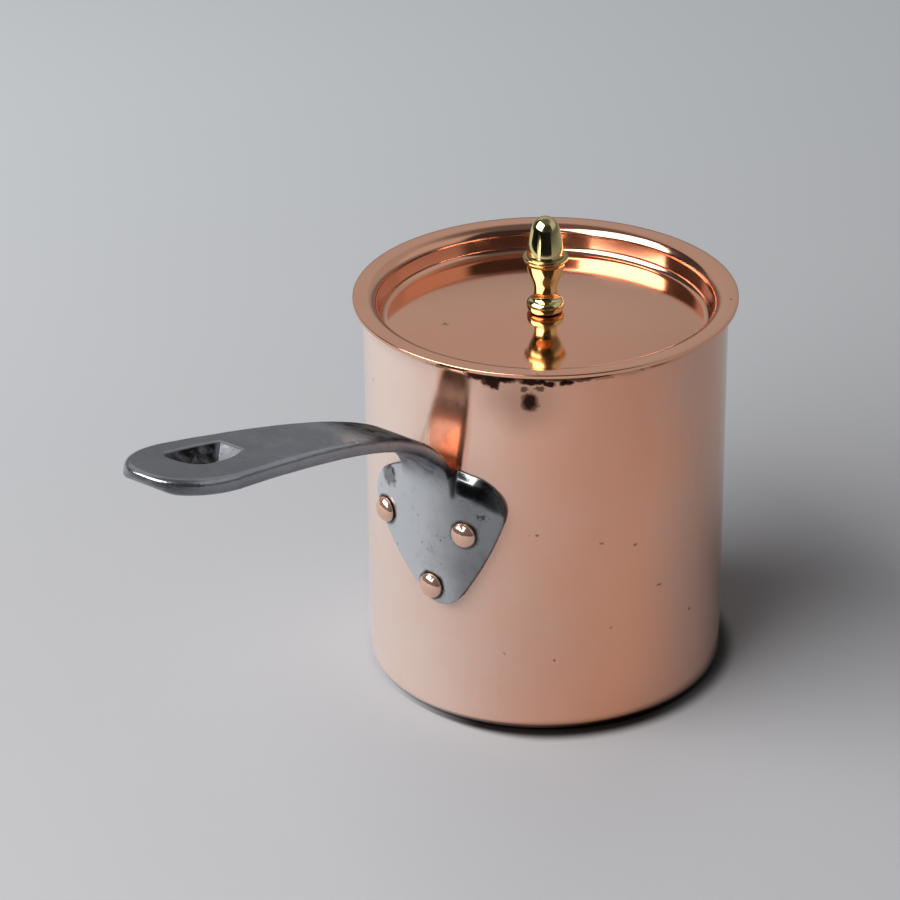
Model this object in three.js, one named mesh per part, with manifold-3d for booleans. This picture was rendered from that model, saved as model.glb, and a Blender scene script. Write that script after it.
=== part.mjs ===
// A small straight-sided copper saucepan of the bain-marie kind, with its lid.
//
// Millimetres, +Z up. The origin is the centre of the pot's flat foot, and the
// handle points along -X. Radii are measured from the pot's upright axis.
// "Reach" is a distance from that axis along the handle, and "side" is the
// distance from the handle's upright middle plane, towards +Y.

import * as THREE from 'three';
import { mergeVertices } from 'three/addons/utils/BufferGeometryUtils.js';
import Module from 'manifold-3d';

const wasm = await Module();
wasm.setup();

// Pot
const potDiameter = 119;
const potHeight = 129.5;
const potWall = 1.6;
const potBase = 2.0;
const footCornerRadius = 3.2;

// Tin wiped over the copper inside the pot and under the lid
const tinThickness = 0.2;
const tinGap = 0.05;

// Lid: a flat flange on the pot's rim, and a dished middle with a low crown
const lidSheet = 1.3;
const flangeOverhang = 3.2;
const dishClearance = 2.0;
const dishDepth = 9.5;
const dishCornerRadius = 2.4;
const lipRadius = 3.0;
const crownRise = 3.0;

// Knob: a turned brass acorn on a tenon, riveted over a washer under the lid
const knobHeight = 32.8;
const knobFootRadius = 6.2;
const knobFootHeight = 4.0;
const knobNeckRadius = 3.8;
const knobNeckHeight = 7.4;
const knobCupRadius = 6.3;
const knobCollarRadius = 7.5;
const knobCollarHeight = 18.6;
const knobCollarThickness = 2.0;
const acornRadius = 5.9;
const acornShoulderRadius = 5.2;
const acornShoulderDrop = 6.7;
const tenonRadius = 2.2;
const tenonHeadRadius = 3.9;
const tenonHeadHeight = 1.2;
const washerRadius = 6.5;
const washerThickness = 1.2;

// Lug: the spade-shaped foot of the handle, bent round the pot's wall
const lugThickness = 3.3;
const lugMiddleHeight = 72;
const lugSideShift = -1.9;
const lugLean = THREE.MathUtils.degToRad(8.5);
const lugHalfWidth = 26;
const lugTopHalfWidth = 8;
const lugRise = 20.8;
const lugDrop = 27.8;
const lugTipRadius = 9.4;
const lugLobeRadius = 12;
const lugLobeRise = 6.1;
const lugFlankBulge = 0.9;
const lugShoulderAngle = THREE.MathUtils.degToRad(71);

// Arm: rises out of the lug and runs outwards to a broad round tip
const armTipReach = 189.4;
const armTipHeight = 142.9;
const armTipSlope = THREE.MathUtils.degToRad(11.5);
const armTipPull = 102;
const armRootHeight = 84;
const armRootPull = 26;
const armRootDrop = 12;
const armThickness = 4.7;
const armRootHalfWidth = 9.8;
const armEndHalfWidth = 16.9;
const armNarrowReach = 84;
const armRoundEnd = 23.4;
const armTipRoundness = 2.25;
const armTipThinning = 0.45;
const armRoundEndShare = 0.995;
const armEdgeRadius = 1.6;

// Eye: the hanging hole near the tip, with a straight edge at the pot's end
const eyeTipMargin = 15.9;
const eyeLength = 25.5;
const eyeWidth = 13.9;
const eyeSideShift = 2.05;
const eyeStraightWidth = 9.4;
const eyeStraightShift = 3.4;
const eyeSharpCorner = 4;
const eyeRoundCorner = 9;

// Rivets: three of copper, through the lug, the wall and the tin
const rivetShankRadius = 2.5;
const rivetHeadRadius = 4.25;
const rivetHeadHeight = 2.7;
const rivetInsideRadius = 4.6;
const rivetInsideHeight = 1.2;
const rivetUpperLeftSide = 18.9;
const rivetUpperLeftRise = -1.4;
const rivetUpperRightSide = -14.2;
const rivetUpperRightRise = 0.2;
const rivetLowerSide = -1.8;
const rivetLowerRise = -21.4;

// Clearances between pieces that touch on the real pan
const seatGap = 0.2;
const holeGap = 0.25;

// Fineness
const bodySegments = 64;
const knobSegments = 32;
const rivetSegments = 20;
const armSteps = 30;
const arcDivisions = 2;
const outlineDivisions = 4;
const armStationCrowding = 1.25;
const vertexMergeDistance = 1e-4;

// How far a flowing curve's handles reach along its span
const curvePull = 0.45;

// Places worked out from the sizes above
const potRadius = potDiameter / 2;
const boreRadius = potRadius - potWall;
const linedRadius = boreRadius - tinGap - tinThickness;
const flangeTop = potHeight + lidSheet;
const flangeRadius = potRadius + flangeOverhang;
const dishRadius = linedRadius - dishClearance - tinThickness - tinGap - lidSheet;
const crownTop = flangeTop - dishDepth + crownRise;
const crownSphere = (dishRadius ** 2 + crownRise ** 2) / (2 * crownRise);
const tenonHole = tenonRadius + holeGap;
const lugInside = potRadius + seatGap;
const lugOutside = lugInside + lugThickness;
const armWideReach = armTipReach - armRoundEnd;
const eyeNearReach = armTipReach - eyeTipMargin - eyeLength;

const copper = { color: 0xc98468, roughness: 0.16, metalness: 1 };
const tin = { color: 0xb9bab8, roughness: 0.45, metalness: 1 };
const iron = { color: 0x6f7074, roughness: 0.28, metalness: 1 };
const brass = { color: 0xc9a64a, roughness: 0.12, metalness: 1 };

// Helpers: geometry to solid and back, and turned shapes

function toSolid(geometry) {
  const plain = geometry.clone();
  plain.deleteAttribute('normal');
  plain.deleteAttribute('uv');
  const merged = mergeVertices(plain, vertexMergeDistance);
  return new wasm.Manifold(new wasm.Mesh({
    numProp: 3,
    vertProperties: new Float32Array(merged.attributes.position.array),
    triVerts: new Uint32Array(merged.index.array),
  }));
}

function toGeometry(solid) {
  const mesh = solid.getMesh();
  const geometry = new THREE.BufferGeometry();
  geometry.setAttribute('position', new THREE.BufferAttribute(mesh.vertProperties, 3));
  geometry.setIndex(new THREE.BufferAttribute(mesh.triVerts, 1));
  geometry.computeVertexNormals();
  return geometry;
}

function turned(path, segments) {
  // A lathe turns about Y, so the turned shape is tipped up to stand on Z.
  const points = path.getPoints(arcDivisions);
  const geometry = new THREE.LatheGeometry(points, segments);
  geometry.rotateX(Math.PI / 2);
  return geometry;
}

function piece(name, geometry, finish) {
  const mesh = new THREE.Mesh(geometry, new THREE.MeshStandardMaterial(finish));
  mesh.name = name;
  return mesh;
}

// Pot and its lining

function potShellPath(outer, inner, low, high, outerCorner, innerCorner) {
  const path = new THREE.Path();
  path.moveTo(0, low);
  path.lineTo(outer - outerCorner, low);
  path.absarc(outer - outerCorner, low + outerCorner, outerCorner, -Math.PI / 2, 0, false);
  path.lineTo(outer, potHeight);
  path.lineTo(inner, potHeight);
  path.lineTo(inner, high + innerCorner);
  path.absarc(inner - innerCorner, high + innerCorner, innerCorner, 0, -Math.PI / 2, true);
  path.lineTo(0, high);
  return path;
}

function potBody() {
  const insideCorner = footCornerRadius - potWall;
  const path = potShellPath(potRadius, boreRadius, 0, potBase, footCornerRadius, insideCorner);
  const shell = toSolid(turned(path, bodySegments));
  return toGeometry(rivetPlaces().reduce((solid, place) => solid.subtract(rivetHole(place)), shell));
}

function potLining() {
  const outer = boreRadius - tinGap;
  const outerCorner = footCornerRadius - potWall - tinGap;
  const low = potBase + tinGap;
  const high = low + tinThickness;
  const path = potShellPath(outer, linedRadius, low, high, outerCorner, outerCorner - tinThickness);
  const shell = toSolid(turned(path, bodySegments));
  return toGeometry(rivetPlaces().reduce((solid, place) => solid.subtract(rivetHole(place)), shell));
}

// Lid and its lining

// The cut section of a layer of the lid, between two depths below its upper
// face: the crown, the corner, the dish wall, and for the sheet the flange.
function lidLayerPath(upper, lower, innerEdge, withFlange) {
  const sphereCentre = crownTop - crownSphere;
  const cornerReach = dishRadius - dishCornerRadius;
  const cornerSpan = crownSphere + dishCornerRadius;
  const cornerHeight = sphereCentre + Math.sqrt(cornerSpan ** 2 - cornerReach ** 2);
  const crownEdge = Math.atan2(cornerHeight - sphereCentre, cornerReach);
  const lipReach = dishRadius + lipRadius;
  const lipHeight = flangeTop - lipRadius;
  const path = new THREE.Path();
  const crownStart = (depth) => Math.acos(innerEdge / (crownSphere - depth));
  const wallTop = potHeight - seatGap;

  path.moveTo(innerEdge, sphereCentre + (crownSphere - lower) * Math.sin(crownStart(lower)));
  path.absarc(0, sphereCentre, crownSphere - lower, crownStart(lower), crownEdge, true);
  path.absarc(cornerReach, cornerHeight, dishCornerRadius + lower, crownEdge + Math.PI, 2 * Math.PI, false);
  if (withFlange) {
    path.absarc(lipReach, lipHeight, lipRadius - lower, Math.PI, Math.PI / 2, true);
    path.lineTo(flangeRadius, flangeTop - lower);
    path.lineTo(flangeRadius, flangeTop - upper);
    path.absarc(lipReach, lipHeight, lipRadius - upper, Math.PI / 2, Math.PI, false);
  } else {
    path.lineTo(dishRadius + lower, wallTop - lipRadius);
    path.lineTo(dishRadius + upper, wallTop - lipRadius);
  }
  path.absarc(cornerReach, cornerHeight, dishCornerRadius + upper, 2 * Math.PI, crownEdge + Math.PI, true);
  path.absarc(0, sphereCentre, crownSphere - upper, crownEdge, crownStart(upper), false);
  path.closePath();
  return path;
}

function lidSheetShape() {
  return turned(lidLayerPath(0, lidSheet, tenonHole, true), bodySegments);
}

function lidLining() {
  const upper = lidSheet + tinGap;
  return turned(lidLayerPath(upper, upper + tinThickness, tenonHole, false), bodySegments);
}

// Knob, its tenon and the washer

function knobSeats() {
  const foot = crownTop + seatGap;
  const liningUnder = crownTop - lidSheet - tinGap - tinThickness;
  const washerTop = liningUnder - seatGap;
  return { foot, washerTop, washerUnder: washerTop - washerThickness };
}

function knob() {
  const { foot, washerUnder } = knobSeats();
  const tailTop = washerUnder - seatGap;
  const footMiddle = foot + knobFootHeight / 2;
  const footTop = foot + knobFootHeight;
  const neck = foot + knobNeckHeight;
  const collarMiddle = foot + knobCollarHeight;
  const collarUnder = collarMiddle - knobCollarThickness / 2;
  const collarTop = collarMiddle + knobCollarThickness / 2;
  const cupPull = curvePull * (collarUnder - neck);
  const top = foot + knobHeight;
  const path = new THREE.Path();
  path.moveTo(0, tailTop - tenonHeadHeight);
  path.quadraticCurveTo(tenonHeadRadius, tailTop - tenonHeadHeight, tenonHeadRadius, tailTop);
  path.lineTo(tenonRadius, tailTop);
  path.lineTo(tenonRadius, foot);
  path.lineTo(knobFootRadius - knobFootHeight / 4, foot);
  path.quadraticCurveTo(knobFootRadius, foot, knobFootRadius, footMiddle);
  path.quadraticCurveTo(knobFootRadius, footTop, (knobFootRadius + knobNeckRadius) / 2, footTop);
  path.quadraticCurveTo(knobNeckRadius, footTop, knobNeckRadius, neck);
  path.bezierCurveTo(
    knobNeckRadius, neck + cupPull,
    knobCupRadius, collarUnder - cupPull,
    knobCupRadius, collarUnder,
  );
  path.quadraticCurveTo(knobCollarRadius, collarUnder, knobCollarRadius, collarMiddle);
  path.quadraticCurveTo(knobCollarRadius, collarTop, acornRadius, collarTop);
  path.lineTo(acornShoulderRadius, top - acornShoulderDrop);
  path.quadraticCurveTo(acornShoulderRadius, top, 0, top);
  return turned(path, knobSegments);
}

function knobWasher() {
  const { washerTop, washerUnder } = knobSeats();
  const path = new THREE.Path();
  path.moveTo(tenonHole, washerUnder);
  path.lineTo(washerRadius, washerUnder);
  path.lineTo(washerRadius, washerTop);
  path.lineTo(tenonHole, washerTop);
  path.closePath();
  return turned(path, knobSegments);
}

// Rivets: a side is measured round the lug's face, and a rise from the lug's
// middle. Each place is an angle round the pot and a height on its wall.

function rivetPlaces() {
  const onLug = [
    { name: 'rivet_upper_left', side: rivetUpperLeftSide, rise: rivetUpperLeftRise },
    { name: 'rivet_upper_right', side: rivetUpperRightSide, rise: rivetUpperRightRise },
    { name: 'rivet_lower', side: rivetLowerSide, rise: rivetLowerRise },
  ];
  return onLug.map(({ name, side, rise }) => (
    { name, angle: Math.PI - side / lugOutside, height: lugMiddleHeight + rise }
  ));
}

// Turns a shape that stands on +Z so that it points out of the wall at a place.
function pointOutwards(geometry, { angle, height }) {
  geometry.rotateY(Math.PI / 2);
  geometry.rotateZ(angle);
  geometry.translate(0, 0, height);
  return geometry;
}

function rivetHole(place) {
  const length = 4 * (lugOutside - linedRadius); // well past both faces
  const bore = new THREE.CylinderGeometry(
    rivetShankRadius + holeGap, rivetShankRadius + holeGap, length, rivetSegments,
  );
  bore.rotateX(Math.PI / 2);
  bore.translate(0, 0, potRadius);
  return toSolid(pointOutwards(bore, place));
}

function rivet(place) {
  // The inside head is flat, so it stands off the curved lining at its middle.
  const insideFace = Math.sqrt(linedRadius ** 2 - rivetInsideRadius ** 2) - seatGap;
  const outsideFace = lugOutside + seatGap;
  const outsideTop = outsideFace + rivetHeadHeight;
  const path = new THREE.Path();
  path.moveTo(0, insideFace - rivetInsideHeight);
  path.lineTo(rivetInsideRadius - rivetInsideHeight / 2, insideFace - rivetInsideHeight);
  path.lineTo(rivetInsideRadius, insideFace - rivetInsideHeight / 2);
  path.lineTo(rivetInsideRadius, insideFace);
  path.lineTo(rivetShankRadius, insideFace);
  path.lineTo(rivetShankRadius, outsideFace);
  path.lineTo(rivetHeadRadius, outsideFace);
  path.bezierCurveTo(
    rivetHeadRadius, outsideFace + (1 - curvePull) * rivetHeadHeight,
    (1 - curvePull) * rivetHeadRadius, outsideTop,
    0, outsideTop,
  );
  return pointOutwards(turned(path, rivetSegments), place);
}

// Handle: arm and lug forged in one, with the eye and the rivet holes

// The line of the arm's upper face, from the wall to the tip, in reach and height.
function armLine() {
  const tip = new THREE.Vector2(armTipReach, armTipHeight);
  const tipBack = new THREE.Vector2(Math.cos(armTipSlope), Math.sin(armTipSlope)).multiplyScalar(-armTipPull);
  const root = new THREE.Vector2(lugInside, armRootHeight);
  const line = new THREE.CurvePath();
  line.add(new THREE.LineCurve(new THREE.Vector2(lugInside, armRootHeight - armRootDrop), root));
  line.add(new THREE.CubicBezierCurve(
    root,
    new THREE.Vector2(lugInside, armRootHeight + armRootPull),
    tipBack.add(tip),
    tip,
  ));
  return line;
}

// The tip's outline is a blunt ellipse, left a little short of its point.
function armHalfWidth(reach) {
  const along = THREE.MathUtils.clamp((reach - armNarrowReach) / (armWideReach - armNarrowReach), 0, 1);
  const body = THREE.MathUtils.lerp(armRootHalfWidth, armEndHalfWidth, along);
  const past = Math.max(0, reach - armWideReach) / armRoundEnd;
  return body * (1 - Math.min(past, armRoundEndShare) ** armTipRoundness) ** (1 / armTipRoundness);
}

// Thickness grows from the lug's to the arm's up the root, and thins at the tip.
function armDepth(reach) {
  const grown = THREE.MathUtils.smoothstep(reach, lugInside, lugInside + 2 * armThickness);
  const body = THREE.MathUtils.lerp(lugThickness, armThickness, grown);
  const past = Math.max(0, reach - armTipReach + armThickness) / armThickness;
  return body * (1 - armTipThinning * past ** 2);
}

function armSection() {
  const corner = armEdgeRadius / armEndHalfWidth;
  const deep = armEdgeRadius / armThickness;
  const section = new THREE.Shape();
  section.moveTo(-1 + corner, 0);
  section.lineTo(1 - corner, 0);
  section.quadraticCurveTo(1, 0, 1, deep);
  section.lineTo(1, 1 - deep);
  section.quadraticCurveTo(1, 1, 1 - corner, 1);
  section.lineTo(-1 + corner, 1);
  section.quadraticCurveTo(-1, 1, -1, 1 - deep);
  section.lineTo(-1, deep);
  section.quadraticCurveTo(-1, 0, -1 + corner, 0);
  return section;
}

// The arm starts as a straight bar of unit section and is bent along its line.
function arm() {
  const line = armLine();
  const bar = new THREE.ExtrudeGeometry(armSection(), {
    depth: 1, steps: armSteps, bevelEnabled: false, curveSegments: arcDivisions,
  });
  const corners = bar.attributes.position;
  for (let i = 0; i < corners.count; i += 1) {
    // Stations crowd towards the tip, where the outline turns fastest.
    const station = 1 - (1 - corners.getZ(i)) ** armStationCrowding;
    const onFace = line.getPointAt(station);
    const along = line.getTangentAt(station);
    const depth = corners.getY(i) * armDepth(onFace.x);
    const side = corners.getX(i) * armHalfWidth(onFace.x);
    corners.setXYZ(i, -(onFace.x + along.y * depth), side, onFace.y - along.x * depth);
  }
  return toSolid(bar);
}

// A spade: a round tip below, bulging flanks and two round lobes, whose
// shoulders run on into the arm.
function lugOutline() {
  const tip = new THREE.Vector2(0, lugTipRadius - lugDrop);
  const lobe = new THREE.Vector2(lugHalfWidth - lugLobeRadius, lugLobeRise);
  const span = lobe.distanceTo(tip);
  const flankAngle = lobe.clone().sub(tip).angle() - Math.acos((lugTipRadius - lugLobeRadius) / span);
  const outward = new THREE.Vector2(Math.cos(flankAngle), Math.sin(flankAngle));
  const flankLow = tip.clone().addScaledVector(outward, lugTipRadius);
  const flankHigh = lobe.clone().addScaledVector(outward, lugLobeRadius);
  const flankPull = flankLow.clone().lerp(flankHigh, 0.5).addScaledVector(outward, 2 * lugFlankBulge);
  const outline = new THREE.Shape();
  outline.moveTo(0, -lugDrop);
  outline.absarc(0, tip.y, lugTipRadius, -Math.PI / 2, flankAngle, false);
  outline.quadraticCurveTo(flankPull.x, flankPull.y, flankHigh.x, flankHigh.y);
  outline.absarc(lobe.x, lobe.y, lugLobeRadius, flankAngle, lugShoulderAngle, false);
  outline.lineTo(lugTopHalfWidth, lugRise);
  outline.lineTo(-lugTopHalfWidth, lugRise);
  outline.absarc(-lobe.x, lobe.y, lugLobeRadius, Math.PI - lugShoulderAngle, Math.PI - flankAngle, false);
  outline.quadraticCurveTo(-flankPull.x, flankPull.y, -flankLow.x, flankLow.y);
  outline.absarc(0, tip.y, lugTipRadius, Math.PI - flankAngle, 1.5 * Math.PI, false);
  return outline;
}

// A ring of plate round the pot, kept only inside the lug's outline.
function lug() {
  const ring = new THREE.Path();
  ring.moveTo(lugInside, 0);
  ring.lineTo(lugOutside, 0);
  ring.lineTo(lugOutside, potHeight);
  ring.lineTo(lugInside, potHeight);
  ring.closePath();
  const prism = new THREE.ExtrudeGeometry(lugOutline(), {
    depth: lugOutside, bevelEnabled: false, curveSegments: outlineDivisions,
  });
  prism.rotateZ(-lugLean);
  prism.translate(lugSideShift, 0, 0);
  prism.rotateX(Math.PI / 2);
  prism.rotateZ(Math.PI / 2);
  prism.translate(-lugOutside - lugThickness, 0, lugMiddleHeight);
  return toSolid(turned(ring, bodySegments)).intersect(toSolid(prism));
}

// The eye is cut square through the arm, whose slope is nearly the tip's there.
function eyeHole() {
  const high = eyeSideShift + eyeWidth / 2;
  const low = eyeSideShift - eyeWidth / 2;
  const straightHigh = eyeStraightShift + eyeStraightWidth / 2;
  const straightLow = eyeStraightShift - eyeStraightWidth / 2;
  const shape = new THREE.Shape();
  shape.moveTo(0, straightHigh);
  shape.lineTo(0, straightLow);
  shape.quadraticCurveTo((eyeRoundCorner - eyeLength) / 2, low, eyeRoundCorner - eyeLength, low);
  shape.quadraticCurveTo(-eyeLength, low, -eyeLength, high - eyeSharpCorner);
  shape.quadraticCurveTo(-eyeLength, high, eyeSharpCorner - eyeLength, high);
  shape.quadraticCurveTo((eyeSharpCorner - eyeLength) / 2, high, 0, straightHigh);
  const depth = 6 * armThickness; // well past both faces
  const punch = new THREE.ExtrudeGeometry(shape, {
    depth, bevelEnabled: false, curveSegments: outlineDivisions,
  });
  const drop = (armTipReach - eyeNearReach) * Math.tan(armTipSlope);
  punch.translate(0, 0, -depth / 2);
  punch.rotateY(armTipSlope);
  punch.translate(-eyeNearReach, 0, armTipHeight - drop);
  return toSolid(punch);
}

function handle() {
  const forged = arm().add(lug());
  const drilled = rivetPlaces().reduce((solid, place) => solid.subtract(rivetHole(place)), forged);
  return toGeometry(drilled.subtract(eyeHole()));
}

// The whole pan: the pot with its handle, and the lid with its knob

const pan = new THREE.Group();
pan.add(piece('pot_body', potBody(), copper));
pan.add(piece('pot_tin_lining', potLining(), tin));
pan.add(piece('handle', handle(), iron));
rivetPlaces().forEach((place) => pan.add(piece(place.name, rivet(place), copper)));

const lid = new THREE.Group();
lid.add(piece('lid', lidSheetShape(), copper));
lid.add(piece('lid_tin_lining', lidLining(), tin));
lid.add(piece('lid_knob', knob(), brass));
lid.add(piece('knob_washer', knobWasher(), brass));
pan.add(lid);

export default pan;
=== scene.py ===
"""A small lidded copper saucepan with a forged iron handle, dressed for its portrait.

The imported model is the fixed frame. Each of its nodes is replaced by a piece of
the same place and size, turned or forged in finer detail, and finished in a
procedural material. Blender works in metres. The sizes of the pieces are in
millimetres, as a coppersmith would write them, and are scaled once by MM.

The upright axis of the pot is Z, its foot rests on Z = 0 and the handle points
along -X.
"""

import logging
import math
from collections.abc import Sequence
from dataclasses import dataclass, field
from enum import Enum

import bmesh
import bpy
from mathutils import Matrix, Quaternion, Vector, noise


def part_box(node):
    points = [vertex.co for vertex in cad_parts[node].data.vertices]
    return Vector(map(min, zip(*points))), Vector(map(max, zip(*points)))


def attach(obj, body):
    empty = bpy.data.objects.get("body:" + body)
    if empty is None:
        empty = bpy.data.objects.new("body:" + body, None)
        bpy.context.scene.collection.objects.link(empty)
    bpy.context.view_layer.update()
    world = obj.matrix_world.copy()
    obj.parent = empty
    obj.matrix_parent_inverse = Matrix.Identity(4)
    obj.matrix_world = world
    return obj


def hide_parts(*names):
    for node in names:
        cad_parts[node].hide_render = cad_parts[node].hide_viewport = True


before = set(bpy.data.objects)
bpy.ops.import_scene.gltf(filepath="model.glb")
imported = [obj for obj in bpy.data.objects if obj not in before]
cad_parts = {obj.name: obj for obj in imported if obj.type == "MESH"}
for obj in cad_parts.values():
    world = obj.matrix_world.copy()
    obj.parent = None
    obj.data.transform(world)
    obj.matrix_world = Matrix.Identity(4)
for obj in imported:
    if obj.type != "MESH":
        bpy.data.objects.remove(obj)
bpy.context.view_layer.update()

log = logging.getLogger("saucepan")

MM = 0.001

Point = tuple[float, float]
Colour = tuple[float, float, float, float]
Setting = float | Colour | Vector | tuple[float, ...] | str | bpy.types.NodeSocket

# Level directions on the pan: towards the side that the window lights, and away from the camera
TOWARDS_LIGHT: Point = (-0.6, 0.8)
AWAY: Point = (0.66, 0.75)

# What the handle's mesh is marked with, place by place, for its finish, with painted shade and a painted dark
# reflection among the marks
HANDLE_MARKS = ("hollow", "scale_and_shade", "heated", "painted_reflection", "filed")

# The sockets that a Mix node uses for colours, whose names its other sockets share
MIX_SHARE, MIX_FIRST, MIX_SECOND, MIX_RESULT = 0, 6, 7, 2


class Body(Enum):
    """The bodies of the frame that a piece can ride on."""

    PAN = "pan"
    LID = "lid"


class Slot(Enum):
    """The names of the material slots; no piece here is given one."""

    COPPER = "copper"
    RIVET_COPPER = "rivet_copper"
    TIN = "tin"
    IRON = "iron"
    BRASS = "brass"


def smoothstep(low: float, high: float, value: float) -> float:
    """Eases from 0 at one value to 1 at another.

    Args:
        low: The value at which the result leaves 0.
        high: The value at which the result reaches 1.
        value: The value to ease.

    Returns:
        A share from 0 to 1.
    """
    share = min(1.0, max(0.0, (value - low) / (high - low)))
    return share * share * (3 - 2 * share)


def blend(start: float, end: float, share: float) -> float:
    """Goes in a straight line from one number to another.

    Args:
        start: The number at a share of 0.
        end: The number at a share of 1.
        share: How far along to go.

    Returns:
        The number in between.
    """
    return start + (end - start) * share


class Outline:
    """A line drawn from point to point in millimetres, such as half a turned section."""

    def __init__(self, across: float, up: float) -> None:
        """Starts the line.

        Args:
            across: The first point's distance from the axis.
            up: The first point's height.
        """
        self.points: list[Vector] = [Vector((across, up))]

    def to(self, across: float, up: float, parts: int = 1) -> "Outline":
        """Draws a straight line to a point.

        Args:
            across: The point's distance from the axis.
            up: The point's height.
            parts: How many equal stretches the line has.

        Returns:
            The outline itself, so that calls can follow each other.
        """
        start, end = self.points[-1], Vector((across, up))
        for step in range(1, parts + 1):
            self._add(start.lerp(end, step / parts))
        return self

    def arc(self, across: float, up: float, radius: float, start: float, end: float, parts: int) -> "Outline":
        """Draws an arc of a circle.

        Args:
            across: The centre's distance from the axis.
            up: The centre's height.
            radius: The circle's radius.
            start: The angle at which the arc starts, in degrees.
            end: The angle at which it ends, in degrees.
            parts: How many stretches the arc has.

        Returns:
            The outline itself.
        """
        for step in range(parts + 1):
            angle = math.radians(blend(start, end, step / parts))
            self._add(Vector((across + radius * math.cos(angle), up + radius * math.sin(angle))))
        return self

    def flow(self, first: Point, second: Point, end: Point, parts: int) -> "Outline":
        """Draws a curve that leaves towards one point and arrives from another.

        Args:
            first: The point that the curve sets out towards.
            second: The point that it arrives from.
            end: The point where it ends.
            parts: How many stretches the curve has.

        Returns:
            The outline itself.
        """
        a, b, c, d = self.points[-1], Vector(first), Vector(second), Vector(end)
        for step in range(1, parts + 1):
            t = step / parts
            u = 1 - t
            self._add(a * u**3 + b * 3 * u * u * t + c * 3 * u * t * t + d * t**3)
        return self

    def _add(self, point: Vector) -> None:
        """Adds a point unless the line already ends there."""
        if (point - self.points[-1]).length > 1e-6:
            self.points.append(point)


def turned(outline: Outline, segments: int, closed: bool = False) -> bmesh.types.BMesh:
    """Turns half a section once round the upright axis.

    Args:
        outline: The half section, as distance from the axis and height.
        segments: How many flats the round has.
        closed: Whether the section joins its own start, as a ring's does.

    Returns:
        The turned mesh, in metres.
    """
    mesh = bmesh.new()
    verts = [mesh.verts.new((point.x * MM, 0, point.y * MM)) for point in outline.points]
    pairs = list(zip(verts, verts[1:]))
    if closed:
        pairs.append((verts[-1], verts[0]))
    edges = [mesh.edges.new(pair) for pair in pairs]
    bmesh.ops.spin(
        mesh,
        geom=verts + edges,
        cent=(0, 0, 0),
        axis=(0, 0, 1),
        angle=math.tau,
        steps=segments,
        use_merge=True,
    )
    bmesh.ops.remove_doubles(mesh, verts=mesh.verts, dist=1e-6)
    bmesh.ops.recalc_face_normals(mesh, faces=mesh.faces)
    return mesh


def as_object(
    mesh: bmesh.types.BMesh, name: str, material: bpy.types.Material
) -> bpy.types.Object:
    """Makes an object of a mesh, in one material.

    Args:
        mesh: The mesh, in metres, which is used up.
        name: The object's name.
        material: The finish.

    Returns:
        The object, in the scene.
    """
    data = bpy.data.meshes.new(name)
    mesh.to_mesh(data)
    mesh.free()
    data.materials.append(material)
    made = bpy.data.objects.new(name, data)
    bpy.context.scene.collection.objects.link(made)
    return made


def make_piece(
    mesh: bmesh.types.BMesh,
    name: str,
    body: Body,
    node: str,
    material: bpy.types.Material,
    crease: float = 50.0,
) -> bpy.types.Object:
    """Makes a finished piece of a mesh, and hides the CAD node that it replaces.

    Args:
        mesh: The piece's mesh, in metres, which is used up.
        name: The piece's name.
        body: The body that it rides on.
        node: The CAD node that it replaces.
        material: The finish.
        crease: The angle in degrees past which an edge stays sharp.

    Returns:
        The piece, riding on its body.
    """
    piece = as_object(mesh, name, material)
    piece.data.shade_smooth()
    piece.data.set_sharp_from_angle(angle=math.radians(crease))
    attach(piece, body.value)
    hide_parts(node)
    log.info("%s: %d faces", name, len(piece.data.polygons))
    return piece


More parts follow.
